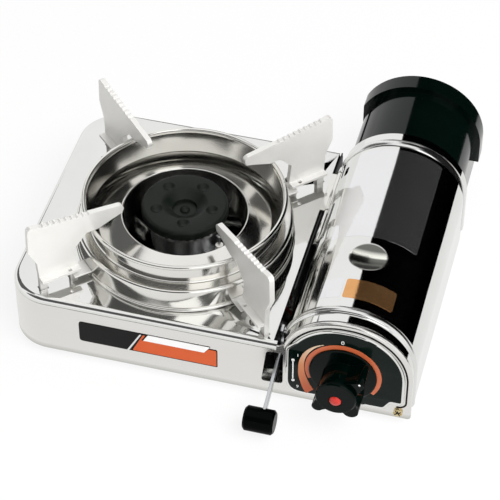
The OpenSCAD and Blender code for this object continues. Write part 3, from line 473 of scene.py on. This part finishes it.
lid = {
    "radius": 0.0432,
    "shift": 0.0012,        # flat run at the crown
    "left": 158.0,          # angle where the sheet leaves the hinge
    "low": 0.009,
    "front": 0.0036,        # both ends, behind the front panel
    "back": 0.1845,
    "sheet": 0.0008,
    "beads": ((0.0135, 0.0024, 0.0010), (0.1745, 0.0034, 0.0014)),     # place, half width, height
    "band": (0.0008, 0.0036, 0.0009),       # the front band lies lower: drop, start before the bead, run
    "fade": (0.02, 0.05),   # the beads get flatter down the right side: start, run
    "dimple": (0.0004, 0.0628, 0.0126, 0.0118, 0.0028),     # place, half sizes, depth
    # cut in the sheet: turn, place along, size
    "window": (144, 0.157, (0.004, 0.008, 0.012)),
    # cut in its upright right side: x, place along, z, size
    "notch": (0.136, 0.1749, 0.008, (0.03, 0.009, 0.016)),
    "pin": (0.0506, 0.0536),                # x, z of the hinge's axis
    "knuckle": 0.0026,
    "knuckles": ((0.093, 0.127), (0.1656, 0.171)),
    "leaf": (158.4, 156, 153, 150, 147),    # turns across the hinge leaf
    "bevels": (0.0015, 0.0005, 0.0003),     # of the windows, the knuckles and the leaf
}


def lidRun(turn):       # the way round the sheet from the crown, to the left below zero
    swing = lid["radius"] * math.radians(abs(turn - 90))
    return -swing if turn > 90 else lid["shift"] + swing


def lidSpot(run, back, lift=0.0):
    radius = lid["radius"]
    if run < 0:
        turn = math.pi / 2 - run / radius
        x, z, nx, nz = bay[0], bay[1], math.cos(turn), math.sin(turn)
    elif run < lid["shift"]:
        turn = math.pi / 2
        x, z, nx, nz = bay[0] + run, bay[1], 0.0, 1.0
    elif run < lid["shift"] + radius * math.pi / 2:
        turn = math.pi / 2 - (run - lid["shift"]) / radius
        x, z, nx, nz = bay[0] + lid["shift"], bay[1], math.cos(turn), math.sin(turn)
    else:
        x, z = bay[0] + lid["shift"], bay[1] - (run - lid["shift"] - radius * math.pi / 2)
        nx, nz = 1.0, 0.0
    out = radius + lift
    for bead, half, high in lid["beads"]:
        off = abs(back - bead) / half
        if off < 1:
            flatter = 1 if run < lid["fade"][0] else max(0.5, 1 - (run - lid["fade"][0]) / lid["fade"][1])
            out += high * math.sqrt(1 - off * off) ** 1.3 * flatter
    drop, before, bandRun = lid["band"]
    step = min(1, max(0, (back - lid["beads"][0][0] + before) / bandRun))
    out -= drop * (1 - step ** 2 * (3 - 2 * step))
    cx, cy, ax, ay, depth = lid["dimple"]
    far = math.hypot((run - cx) / ax, (back - cy) / ay)
    if far < 1.1:
        bowl = 1 - far * far if far < 0.9 else 0.19 * ((1.1 - far) / 0.2) ** 2
        out -= depth * bowl
    return Vector((x + nx * out, front + back, z + nz * out))


def stops(*zones):           # (start, end, step) zones into one list
    places = []
    for start, end, step in zones:
        count = max(1, round((end - start) / step))
        places += [start + (end - start) * k / count for k in range(count)]
    return places + [zones[-1][1]]


def sheetOf(across, along, place):
    # a grid whose points are then moved on to the form
    clearSelection()
    bpy.ops.mesh.primitive_grid_add(x_subdivisions=len(across) - 1, y_subdivisions=len(along) - 1, size=1)
    obj = bpy.context.object
    for v in obj.data.vertices:
        i = round((v.co.x + 0.5) * (len(across) - 1))
        j = round((v.co.y + 0.5) * (len(along) - 1))
        v.co = place(across[i], along[j])
    obj.data.update()
    return obj


def makeLid():
    quarter = lid["radius"] * math.pi / 2
    leftRun = lidRun(lid["left"])
    lowRun = lid["shift"] + quarter + bay[1] - lid["low"]
    # finer rows at the beads and the dimple
    across = stops((leftRun, -0.017, 0.0016), (-0.017, 0.017, 0.0009), (0.017, lid["shift"] + quarter, 0.0016),
                   (lid["shift"] + quarter, lowRun, 0.004))
    along = stops((lid["front"], 0.0095, 0.001), (0.0095, 0.0166, 0.0004), (0.0166, 0.048, 0.002),
                  (0.048, 0.078, 0.0008), (0.078, 0.1702, 0.0025), (0.1702, 0.1788, 0.0004),
                  (0.1788, lid["back"], 0.0012))
    shell = sheetOf(across, along, lidSpot)
    applied(shell, "SOLIDIFY", thickness=lid["sheet"], offset=-1, use_even_offset=True)
    windowBevel, knuckleBevel, leafBevel = lid["bevels"]
    turn, back, windowSize = lid["window"]
    notchX, notchBack, notchZ, notchSize = lid["notch"]
    for spot, lean, size in ((lidSpot(lidRun(turn), back), math.radians(90 - turn), windowSize),
                             (Vector((notchX, front + notchBack, notchZ)), 0, notchSize)):
        clearSelection()
        bpy.ops.mesh.primitive_cube_add(size=1, location=spot, rotation=(0, lean, 0))
        cutter = bpy.context.object
        cutter.scale = size
        bpy.ops.object.transform_apply(location=True, rotation=True, scale=True)
        applied(cutter, "BEVEL", width=windowBevel, segments=4)
        cutWith(shell, cutter)
    fitted(shell, "lidShell", "lid", "lidSteel", "cartridge_lid", angle=40)
    print("stove: lid shell, faces:", len(shell.data.polygons))

    pinX, pinZ = lid["pin"]
    for k, (y0, y1) in enumerate(lid["knuckles"]):
        clearSelection()
        middle = (pinX, front + (y0 + y1) / 2, pinZ)
        bpy.ops.mesh.primitive_cylinder_add(vertices=32, radius=lid["knuckle"], depth=y1 - y0, location=middle,
                                            rotation=(math.pi / 2, 0, 0))
        knuckle = bpy.context.object
        applied(knuckle, "BEVEL", width=knuckleBevel, segments=2, limit_method="ANGLE")
        fitted(knuckle, "lidKnuckle" + str(k + 1), "lid", "stainless")
    leaf = sheetOf([lidRun(turn) for turn in lid["leaf"]], stops((*lid["knuckles"][0], 0.004)),
                   lambda run, back: lidSpot(run, back, lid["sheet"]))
    applied(leaf, "SOLIDIFY", thickness=lid["sheet"], offset=-1)
    applied(leaf, "BEVEL", width=leafBevel, segments=2, limit_method="ANGLE")
    fitted(leaf, "hingeLeaf", "lid", "stainless")


filmSheet = 0.00006
films = {       # angles round the lid from its right side, places along it, corner, finish
    "lidPlaque": (131, 51, 0.081, 0.168, 0.0016, "labelFilm"),
    "lidTicket": (124, 103, 0.024, 0.041, 0.0012, "labelFilm"),
    "lidTag": (101, 58, 0.024, 0.041, 0.0016, "amberFilm"),
}


def makeFilms():
    for name, (first, last, start, end, corner, finishName) in films.items():
        a, b = lidRun(first), lidRun(last)
        across = stops((a, a + corner, corner), (a + corner, b - corner, 0.0016), (b - corner, b, corner))
        along = stops((start, start + corner, corner), (start + corner, end - corner, 0.004),
                      (end - corner, end, corner))
        film = sheetOf(across, along, lambda run, back: lidSpot(run, back, -sunk))
        uses = [0] * len(film.data.vertices)
        for line in film.data.edges:
            for k in line.vertices:
                uses[k] += 1
        pick(film)
        bpy.ops.object.mode_set(mode="EDIT")
        bpy.ops.mesh.select_all(action="DESELECT")
        bpy.ops.object.mode_set(mode="OBJECT")
        for v in film.data.vertices:
            v.select = uses[v.index] == 2
        bpy.ops.object.mode_set(mode="EDIT")
        bpy.ops.mesh.bevel(offset=corner * 0.95, segments=4, affect="VERTICES")
        bpy.ops.object.mode_set(mode="OBJECT")
        applied(film, "SOLIDIFY", thickness=filmSheet, offset=1)
        fitted(film, name, "lid", finishName)
    print("stove: bare films on the lid")


case = {
    "left": -0.1363, "depth": 0.190, "corner": 0.028,
    "right": 0.0472, "seam": 0.0489, "seamTop": 0.0502,     # of the open seam: right end and heights
    "cut": (-0.002, 0.0009),                                # insets of the frame that cuts it
}


def caseOutline(inset):     # plan of the case's left part, in mm
    x0, x1 = (case["left"] + inset) * 1000, case["right"] * 1000
    y0, y1 = (front + inset) * 1000, (front + case["depth"] - inset) * 1000
    r = (case["corner"] - inset) * 1000
    return swung((x0 + r, y1 - r), r, 90, 180, 24) + swung((x0 + r, y0 + r), r, 180, 270, 24) + [(x1, y0), (x1, y1)]


def makeDeck():     # the deck with an open seam under its rolled edge
    deck = merged("deck_plate")
    frameLine = outlineCurve([caseOutline(inset) for inset in case["cut"]], True)
    frameLine.data.fill_mode = "BOTH"
    frameLine.data.extrude = (case["seamTop"] - case["seam"]) / 2
    frameLine.rotation_euler = (0, 0, 0)
    frameLine.location = (0, 0, (case["seamTop"] + case["seam"]) / 2)
    cutter = meshed(frameLine)
    pick(cutter)
    bpy.ops.object.transform_apply(location=True, rotation=True, scale=True)
    cutWith(deck, cutter)
    fitted(deck, "deckPlate", "case", "stainless", "deck_plate", angle=30)
    print("stove: deck, faces:", len(deck.data.polygons))


makeLid()
makeFilms()


ring = {
    "wall": 0.0718, "high": 0.0355, "rim": 0.0664, "step": 0.0176, "neck": 0.0628,
    "sheet": 0.0008, "rimBead": 0.0015, "footBead": 0.0013, "low": 0.0015, "bends": (0.0022, 0.0014),
}
dish = {"rim": 0.0660, "edge": 0.0584, "lip": 0.0415, "lipHigh": 0.021, "wellHigh": 0.0150, "sheet": 0.0006}


def makeRing():
    w, t, h = ring["wall"], ring["sheet"], deckTop
    wide, tight = ring["bends"]
    step, neck = h + ring["step"], ring["neck"]
    rimTop = h + ring["high"] - ring["rimBead"]
    foot = h + ring["low"]
    outline = arc(w - 0.0002, foot, ring["footBead"], -180, 90, 12)
    outline += [(w, foot + 0.003), (w, step - 0.004)] + arc(w - wide, step - wide, wide, 0, 90, 6)
    outline += [(neck + 0.0016, step)] + arc(neck + tight, step + tight, tight, 270, 190, 4)
    outline += arc(ring["rim"], rimTop, ring["rimBead"], 200, -110, 16)
    outline += [(ring["rim"] - ring["rimBead"] - 0.0003, rimTop - 0.0012)]
    outline += [(neck - t + 0.0002, step + 0.002)] + arc(neck + tight, step + tight, tight + t, 190, 270, 5)
    outline += arc(w - wide, step - wide, wide - t, 90, 0, 5) + [(w - t, foot + 0.003)]
    obj = turned(outline, burner, 160)
    fitted(obj, "windRing", "grate", "ringSteel", "wind_ring", angle=50)
    print("stove: wind ring")


def makeDish():
    t, h, e, lip = dish["sheet"], deckTop, dish["edge"], dish["lip"]
    low, top = h + dish["wellHigh"], h + dish["lipHigh"]
    outer = [(dish["rim"], h + 0.00001), (dish["rim"], h + t)] + arc(e + 0.0022, h + t + 0.0016, 0.0016, 270, 195, 4)
    outer += arc(e - 0.0022, low - 0.0022, 0.0022, 0, 70, 6)
    outer += [(lip + 0.0024, top - 0.0006)] + arc(lip + 0.0004, top - 0.0006, 0.0007, 70, 185, 6)
    outer += [(lip - 0.0010, top - 0.006), (lip - 0.0016, h + 0.012), (lip - 0.004, h + 0.003)]
    inner = [(lip - 0.0034, h + 0.003), (lip - 0.0010, h + 0.012), (lip - 0.0004, top - 0.006)]
    inner += [(lip + 0.0007, top - 0.0013), (lip + 0.0020, top - 0.0013), (e - 0.0024, low - 0.0008)]
    inner += [(e - t, low - 0.0028), (e + 0.0006, h - 0.0003), (0.0600, h - 0.0003), (0.0600, h + 0.00001)]
    obj = turned(outer + inner, burner, 160)
    fitted(obj, "dripDish", "case", "ringSteel", "drip_dish", angle=50)
    print("stove: drip dish")


makeRing()
makeDish()


rounded = {      # node: (body, width of the rounding, segments)
    "pan_support_front_left": ("grate", 0.0007, 3), "pan_support_front_right": ("grate", 0.0007, 3),
    "pan_support_back_left": ("grate", 0.0007, 3), "pan_support_back_right": ("grate", 0.0007, 3),
    "support_clips": ("grate", 0.0004, 2), "tail_cap": ("tail", 0.0009, 3), "control_knob": ("knob", 0.0005, 3),
    "knob_insert": ("knob", 0.0002, 2), "lever_arm": ("lever", 0.0003, 2), "lever_knob": ("lever", 0.0008, 3),
    "case_screws": ("case", 0.0002, 2), "rubber_feet": ("case", 0.0006, 2),
    "hinge_bracket": ("case", 0.0003, 2), "port_ring": ("case", 0.0002, 1),
}
nodeSlots = {row["node"]: row["material_slot"] for row in frame["record"]["subparts"]}


def roundThem():
    for node, (body, width, segments) in rounded.items():
        obj = softened(node, width, segments)
        words = node.split("_")
        name = words[0] + "".join(word.capitalize() for word in words[1:])
        fitted(obj, name, body, ownFinish.get(node, nodeSlots[node]), node, angle=40, flats=True)
    print("stove: rounded pieces")


roundThem()
makeDeck()

panel = {
    "left": 55.3, "right": 129.1, "low": 15.5, "radius": 35.5,      # mm, in x and z
    "flat": 2.6,                                          # flat run at the arch's top
    "stepX": 119.2, "stepZ": 22.4, "shoulder": 52.8, "thick": 0.0008,
    "stepLean": (-1.2, 2.6),                              # its lower and upper end, from stepX
    "corners": (3, 3, 1.5, 4, 9.5),                       # radii from the step round to the lower left
    "archEnd": 145.5, "grooveEnd": 158,
    "bead": (0.9, 0.0004, 0.00095),                       # how far outside the plate, before the front, radius
    # painted shade: the black line stands for the shaded hollow between the plate's bead and its rolled lip
    "groove": (2.7, 3.9),                                 # a black line, so far outside the plate
    "curl": (127.5, 22.6, -105),                          # centre and last turn of its end
    "hole": 7.5,                                          # for the spindle
    "screw": (127.6, 13.3), "cross": (2.7, 0.38, 38),     # half length, half width, turn
    # painted highlight: a white dot on the knob's upper fin
    "dot": (105.3, 53.6, 0.75),                           # on the knob's upper fin: place, radius
    "screwFace": 0.00158, "dotFace": 0.02008,             # so far before the front panel
    "figures": (("0", 89.9, 66.4, 4.4), ("1", 61.4, 47.6, 3.6), ("9", 61.6, 18.4, 3.6)),
    "arrow": ((58.3, 43.6, 1.1), (58.6, 24.8, 1.1)),      # its two ends
    "shaft": ((58.0, 25.5), (58.9, 25.5), (58.7, 43.0), (57.9, 43.0)),
    "ring": (24.9, 20.4, -36, 205), "ringUp": 0.3,        # radii, first and last angle; rise of its outer edge
    "crescent": ((120, 26.2, 26.5), (135, 26.3, 27.6), (152, 26.0, 28.5), (185, 25.3, 29.2), (208, 25.9, 31.3),
                 (227, 27.6, 34.6)),                      # angle, inner and outer radius
    "dial": 0.0003, "mark": 0.0002, "dotThick": 0.0001,   # thicknesses
}


def plateOutline(grow):
    axis, up = bay[0] * 1000, bay[1] * 1000
    r = panel["radius"] + grow
    arch = swung((axis + panel["flat"], up), r, 0, 90, 24) + swung((axis, up), r, 90, panel["archEnd"], 16)
    stepLow, stepHigh = panel["stepLean"]
    stepFoot, stepTop, right, shoulder, left = panel["corners"]
    points = [(panel["stepX"] + stepLow, panel["low"] - grow, stepFoot + grow),
              (panel["stepX"] + stepHigh + grow * 0.5, panel["stepZ"] - grow, stepTop - grow),
              (panel["right"] + grow, panel["stepZ"] - grow, right + grow)]
    points += [(x, z, 0) for x, z in arch]
    points += [(panel["left"] - grow, panel["shoulder"] + 0.4 * grow, shoulder + grow),
               (panel["left"] - grow, panel["low"] - grow, left + grow)]
    return cornered(points, 6)


def makePanel():
    axis, up = bay[0] * 1000, bay[1] * 1000
    hole = swung((axis, up), panel["hole"], 0, 352.5, 47)
    plate = flatPiece([plateOutline(0), hole], front + sunk, panel["thick"] + sunk, 0.0002)
    fitted(plate, "controlPlate", "case", "black_enamel", "control_plate")
    beadGrow, beadOut, beadRadius = panel["bead"]
    bead = beadAlong(plateOutline(beadGrow), front - beadOut, beadRadius)
    fitted(bead, "plateBead", "case", "stainless")
    # painted shade: a black sheet along the shaded hollow between the bead and the rolled lip
    out, inside = panel["radius"] + panel["groove"][1], panel["radius"] + panel["groove"][0]
    curlX, curlZ, turnedTo = panel["curl"]
    flatEnd = axis + panel["flat"]
    line = swung((curlX, curlZ), flatEnd + out - curlX, turnedTo, 0, 12) + swung((flatEnd, up), out, 0, 90, 24)
    end = panel["grooveEnd"]
    line += swung((axis, up), out, 90, end, 16) + swung((axis, up), inside, end, 90, 16)
    line += swung((flatEnd, up), inside, 90, 0, 24) + swung((curlX, curlZ), flatEnd + inside - curlX, 0, turnedTo, 12)
    fitted(flatPiece([line], front + sunk, panel["mark"]), "plateGrooveShade", "case", "blackPrintAndShade")

    face = front - panel["thick"] + 0.00001
    outer, inner, first, last = panel["ring"]
    ringLine = swung((axis, up + panel["ringUp"]), outer, first, last, 60) + swung((axis, up), inner, last, first, 60)
    dial = flatPiece([ringLine], face, panel["dial"])
    fitted(dial, "dialRing", "case", "orange_print", "dial_scale")
    rows = panel["crescent"]

    def radii(turn):
        for (t0, i0, o0), (t1, i1, o1) in zip(rows, rows[1:]):
            if turn <= t1:
                share = (turn - t0) / (t1 - t0)
                return i0 + (i1 - i0) * share, o0 + (o1 - o0) * share
        return rows[-1][1:]

    turns = [rows[0][0] + (rows[-1][0] - rows[0][0]) * k / 36 for k in range(37)]
    line = [onCircle((axis, up), radii(t)[1], t) for t in turns]
    line += [onCircle((axis, up), radii(t)[0], t) for t in reversed(turns)]
    fitted(flatPiece([line], face, panel["dial"]), "dialFade", "case", "dialFade")

    marks = [swung((x, z), size, 0, 345, 23) for x, z, size in panel["arrow"]] + [panel["shaft"]]
    for k, line in enumerate(marks):
        fitted(flatPiece([line], face, panel["mark"]), "dialArrow" + str(k + 1), "case", "whitePrintAndHighlight")
    for k, (word, x, z, size) in enumerate(panel["figures"]):
        clearSelection()
        bpy.ops.object.text_add(location=(0, 0, 0))
        text = bpy.context.object
        text.data.body, text.data.size = word, size * mm
        text.data.align_x = "CENTER"
        text.data.extrude = panel["mark"] / 2
        bpy.ops.object.convert(target="MESH")
        text = bpy.context.object
        text.rotation_euler = (math.pi / 2, 0, 0)
        text.location = (x * mm, face - panel["mark"] / 2, z * mm)
        mended(text, 0.0000001)
        fitted(text, "dialFigure" + str(k + 1), "case", "whitePrintAndHighlight")

    # painted shade: a black cross for the shaded cross recess in the screw head
    x, z = panel["screw"]
    run, half, slotTurn = panel["cross"]
    cross = []
    for k in range(4):
        c, n = onCircle((0, 0), 1, slotTurn + 90 * k)
        cross += [(x + a * c - b * n, z + a * n + b * c) for a, b in ((run, -half), (run, half), (half, half))]
    fitted(flatPiece([cross], front - panel["screwFace"], filmSheet), "screwCrossShade", "case", "blackPrintAndShade")
    # painted highlight on the knob's fin, as a white dot
    x, z, size = panel["dot"]
    dot = flatPiece([swung((x, z), size, 0, 345, 23)], front - panel["dotFace"], panel["dotThick"])
    fitted(dot, "knobDot", "knob", "whitePrintAndHighlight")
    print("stove: control panel")


badge = {       # corners in x and z with their own radius, in mm
    "field": [(-85, 21.7, 2.5), (8.3, 21.7, 0.8), (8.3, 37.4, 1.5), (2.6, 37.4, 0.3), (3.8, 39.3, 0.3),
              (-85, 39.3, 2.5)],
    "orange": [(-48.9, 22.5, 0.6), (7.7, 22.5, 0.6), (7.7, 36.9, 1.2), (2.2, 36.9, 0.3), (-0.4, 33.2, 0.3),
               (-42.6, 33.2, 0.3), (-39.8, 38.2, 0.3), (-41.4, 38.2, 0.3)],
    "band": [(-41.4, 33.4, 0.3), (-0.5, 33.4, 0.3), (3.4, 39.1, 0.3), (-38.0, 39.1, 0.3)],
    "stripe": [(-52.6, 21.9, 0.1), (-51.2, 21.9, 0.1), (-42.4, 38.4, 0.1), (-43.6, 38.4, 0.1)],
    "thick": 0.0003,
    # finish, and how far it lies before the field
    "layers": (("field", "blackPrintAndShade", 0.0), ("orange", "badgeOrange", 0.00015), ("band", "whitePrintAndHighlight", 0.00022),
               ("stripe", "labelFilm", 0.00015)),
}


def makeBadge():
    for name, finishName, lift in badge["layers"]:
        piece = flatPiece([cornered(badge[name])], front + sunk - lift, badge["thick"])
        fitted(piece, "badge" + name.capitalize(), "case", finishName)
    print("stove: bare badge")


head = {
    "radius": 0.0288, "low": 0.0750, "top": 0.0814, "round": 0.0022,
    "bowl": (0.0150, 0.0040), "well": (0.0082, 0.0030),      # radius and depth
    "boss": ((0.0034, 0.0), (0.0030, 0.0016), (0.0018, 0.0026), (0.0002, 0.0029)),     # in the well: radius, height
    "pits": (5, 0.0190, 67, 0.0044, 0.0016),      # how many, ring radius, first angle, pit radius, depth
}


def makeHead():
    top, r, bend = head["top"], head["radius"], head["round"]
    bowlR, bowlDeep = head["bowl"]
    wellR, wellDeep = head["well"]
    bottom = top - bowlDeep - wellDeep
    outline = [(0.0002, head["low"]), (r, head["low"]), (r, top - 0.0026)]
    outline += arc(r - bend, top - bend, bend, 10, 90, 5)
    outline += [(bowlR + 0.001, top - 0.0002), (bowlR, top - 0.0004), (bowlR - 0.002, top - 0.0012)]
    outline += [(wellR + 0.002, top - bowlDeep + 0.0006), (wellR + 0.0006, top - bowlDeep + 0.0001)]
    outline += [(wellR, top - bowlDeep - 0.0003), (wellR - 0.0003, bottom)]
    outline += [(bossR, bottom + high) for bossR, high in head["boss"]]
    obj = turned(outline, burner, 128)
    pitCount, pitRing, first, pitR, pitDeep = head["pits"]
    ball = (pitR * pitR + pitDeep * pitDeep) / (2 * pitDeep)
    for k in range(pitCount):
        spot = onCircle(burner, pitRing, first + 360 / pitCount * k)
        clearSelection()
        bpy.ops.mesh.primitive_uv_sphere_add(segments=48, ring_count=32, radius=ball,
                                             location=(*spot, top - pitDeep + ball))
        cutWith(obj, bpy.context.object)
    fitted(obj, "burnerHead", "case", "castIron", "burner_head")
    print("stove: burner head")


makePanel()
makeBadge()
makeHead()

room = {
    "floor": 2.4,
    "floorTones": ((0.93, 0.93, 0.93), (0.90, 0.90, 0.89)),     # to the light, and in a mirror
    "seen": 0.85,           # share of plain white that the camera sees in the floor
    "lamp": 46.0, "lampSize": (1.6, 1.2), "lampAt": (1.1, -0.9, 1.8),
    # flat cards that only a mirror sees: corners
    "cards": (((0.235, -0.02, 0.0), (0.235, 0.70, 0.0), (0.235, 0.70, 0.58), (0.235, -0.02, 0.58)),
              ((0.028, 0.20, 0.45), (0.236, 0.20, 0.45), (0.236, 0.70, 0.45), (-0.080, 0.70, 0.45),
               (-0.0360, 0.55, 0.45), (-0.0050, 0.46, 0.45), (0.0030, 0.34, 0.45), (0.0200, 0.26, 0.45))),
    "low": ((-0.42, 1.3, 0.0), (0.9, 1.3, 0.0), (0.9, 1.3, 0.55), (-0.42, 1.3, 0.55)),      # far behind the stove
    "lowTone": 0.10,
    # upright cards before the stove: first and last turn from the camera's way, tone
    "screens": ((-150, -95, 0.12), (-80, 3, 0.10), (3, 36, 1.5), (36, 48, 0.12)),
    "screenAt": (1.2, 0.5, 2.2),        # how far off, from and to height
    "sides": (0.13, 0.93),              # plain light from the left and from the right
}


# plain to the light, and its own tone in a mirror; the camera sees a share of plain white in it
def seenAs(name, plain, seen, share):
    material, nodes, links, shader = startMaterial(name, plain, 0.0, 0.9)

    def glow(tone):
        light = nodes.new("ShaderNodeEmission")
        light.inputs["Color"].default_value = (*tone, 1)
        return light.outputs["Emission"]

    def mixed(amount, first, second):
        mix = nodes.new("ShaderNodeMixShader")
        links.new(amount, mix.inputs["Fac"])
        links.new(first, mix.inputs[1])
        links.new(second, mix.inputs[2])
        return mix.outputs["Shader"]

    part = reckoned(nodes, links, "MULTIPLY", rayOf(nodes, links, "Is Camera Ray"), share)
    mirrored = rayOf(nodes, links, "Is Glossy Ray", "Is Transmission Ray")
    plainOrWhite = mixed(part, shader.outputs["BSDF"], glow((1, 1, 1)))
    links.new(mixed(mirrored, plainOrWhite, glow(seen)), nodes["Material Output"].inputs["Surface"])
    return material


def makeCard(name, faces, tone):
    card = bmesh.new()
    for corners in faces:
        card.faces.new([card.verts.new(corner) for corner in corners])
    mesh = bpy.data.meshes.new(name)
    card.to_mesh(mesh)
    card.free()
    obj = bpy.data.objects.new(name, mesh)
    bpy.context.scene.collection.objects.link(obj)
    obj.visible_camera = obj.visible_diffuse = obj.visible_shadow = obj.visible_transmission = False
    dark, _, _, shader = startMaterial(name, (0.0, 0.0, 0.0), 0.0, 1.0)
    shader.inputs["Specular IOR Level"].default_value = 0.0
    shader.inputs["Emission Color"].default_value = (tone, tone, tone, 1)
    shader.inputs["Emission Strength"].default_value = 1.0
    obj.data.materials.append(dark)


def makeRoom():
    bpy.ops.object.select_all(action="DESELECT")
    bpy.ops.mesh.primitive_plane_add(size=2 * room["floor"], location=(0, 0, 0))
    floor = bpy.context.object
    floor.name = "paleFloor"
    floor.data.materials.append(seenAs("paleFloor", *room["floorTones"], room["seen"]))

    for k, corners in enumerate(room["cards"]):
        makeCard("darkCard" + str(k + 1), [corners], 0.0)
    makeCard("lowCard", [room["low"]], room["lowTone"])
    far, low, high = room["screenAt"]
    for k, (first, last, tone) in enumerate(room["screens"]):
        before = lens["azimuth"] - 90
        feet = swung((0, 0), far, before + first, before + last, 6)
        faces = [((*a, low), (*b, low), (*b, high), (*a, high)) for a, b in zip(feet, feet[1:])]
        makeCard("greyCard" + str(k + 1), faces, tone)

    world = bpy.data.worlds.new("studio")
    bpy.context.scene.world = world
    world.use_nodes = True
    nodes, links = world.node_tree.nodes, world.node_tree.links
    sky = nodes["Background"]
    sky.inputs["Color"].default_value = (1, 1, 1, 1)
    seen = rayOf(nodes, links, "Is Camera Ray", "Is Glossy Ray", "Is Transmission Ray")
    dim = between(nodes, links, apartOf(nodes, links, "Generated")["X"], *room["sides"], -0.7, 0.7)
    span = nodes.new("ShaderNodeMapRange")
    span.inputs["To Max"].default_value = 1.0
    links.new(dim, span.inputs["To Min"])
    links.new(seen, span.inputs["Value"])
    links.new(span.outputs["Result"], sky.inputs["Strength"])

    lamp = bpy.data.lights.new("softLamp", "AREA")
    lamp.shape = "RECTANGLE"
    lamp.size, lamp.size_y = room["lampSize"]
    lamp.energy = room["lamp"]
    spot = bpy.data.objects.new("softLamp", lamp)
    spot.location = room["lampAt"]
    spot.rotation_euler = Vector(room["lampAt"]).to_track_quat("Z", "Y").to_euler()
    spot.visible_glossy = False
    bpy.context.scene.collection.objects.link(spot)

    bpy.context.scene.view_settings.view_transform = "Standard"


makeRoom()
print("stove: floor and lights")
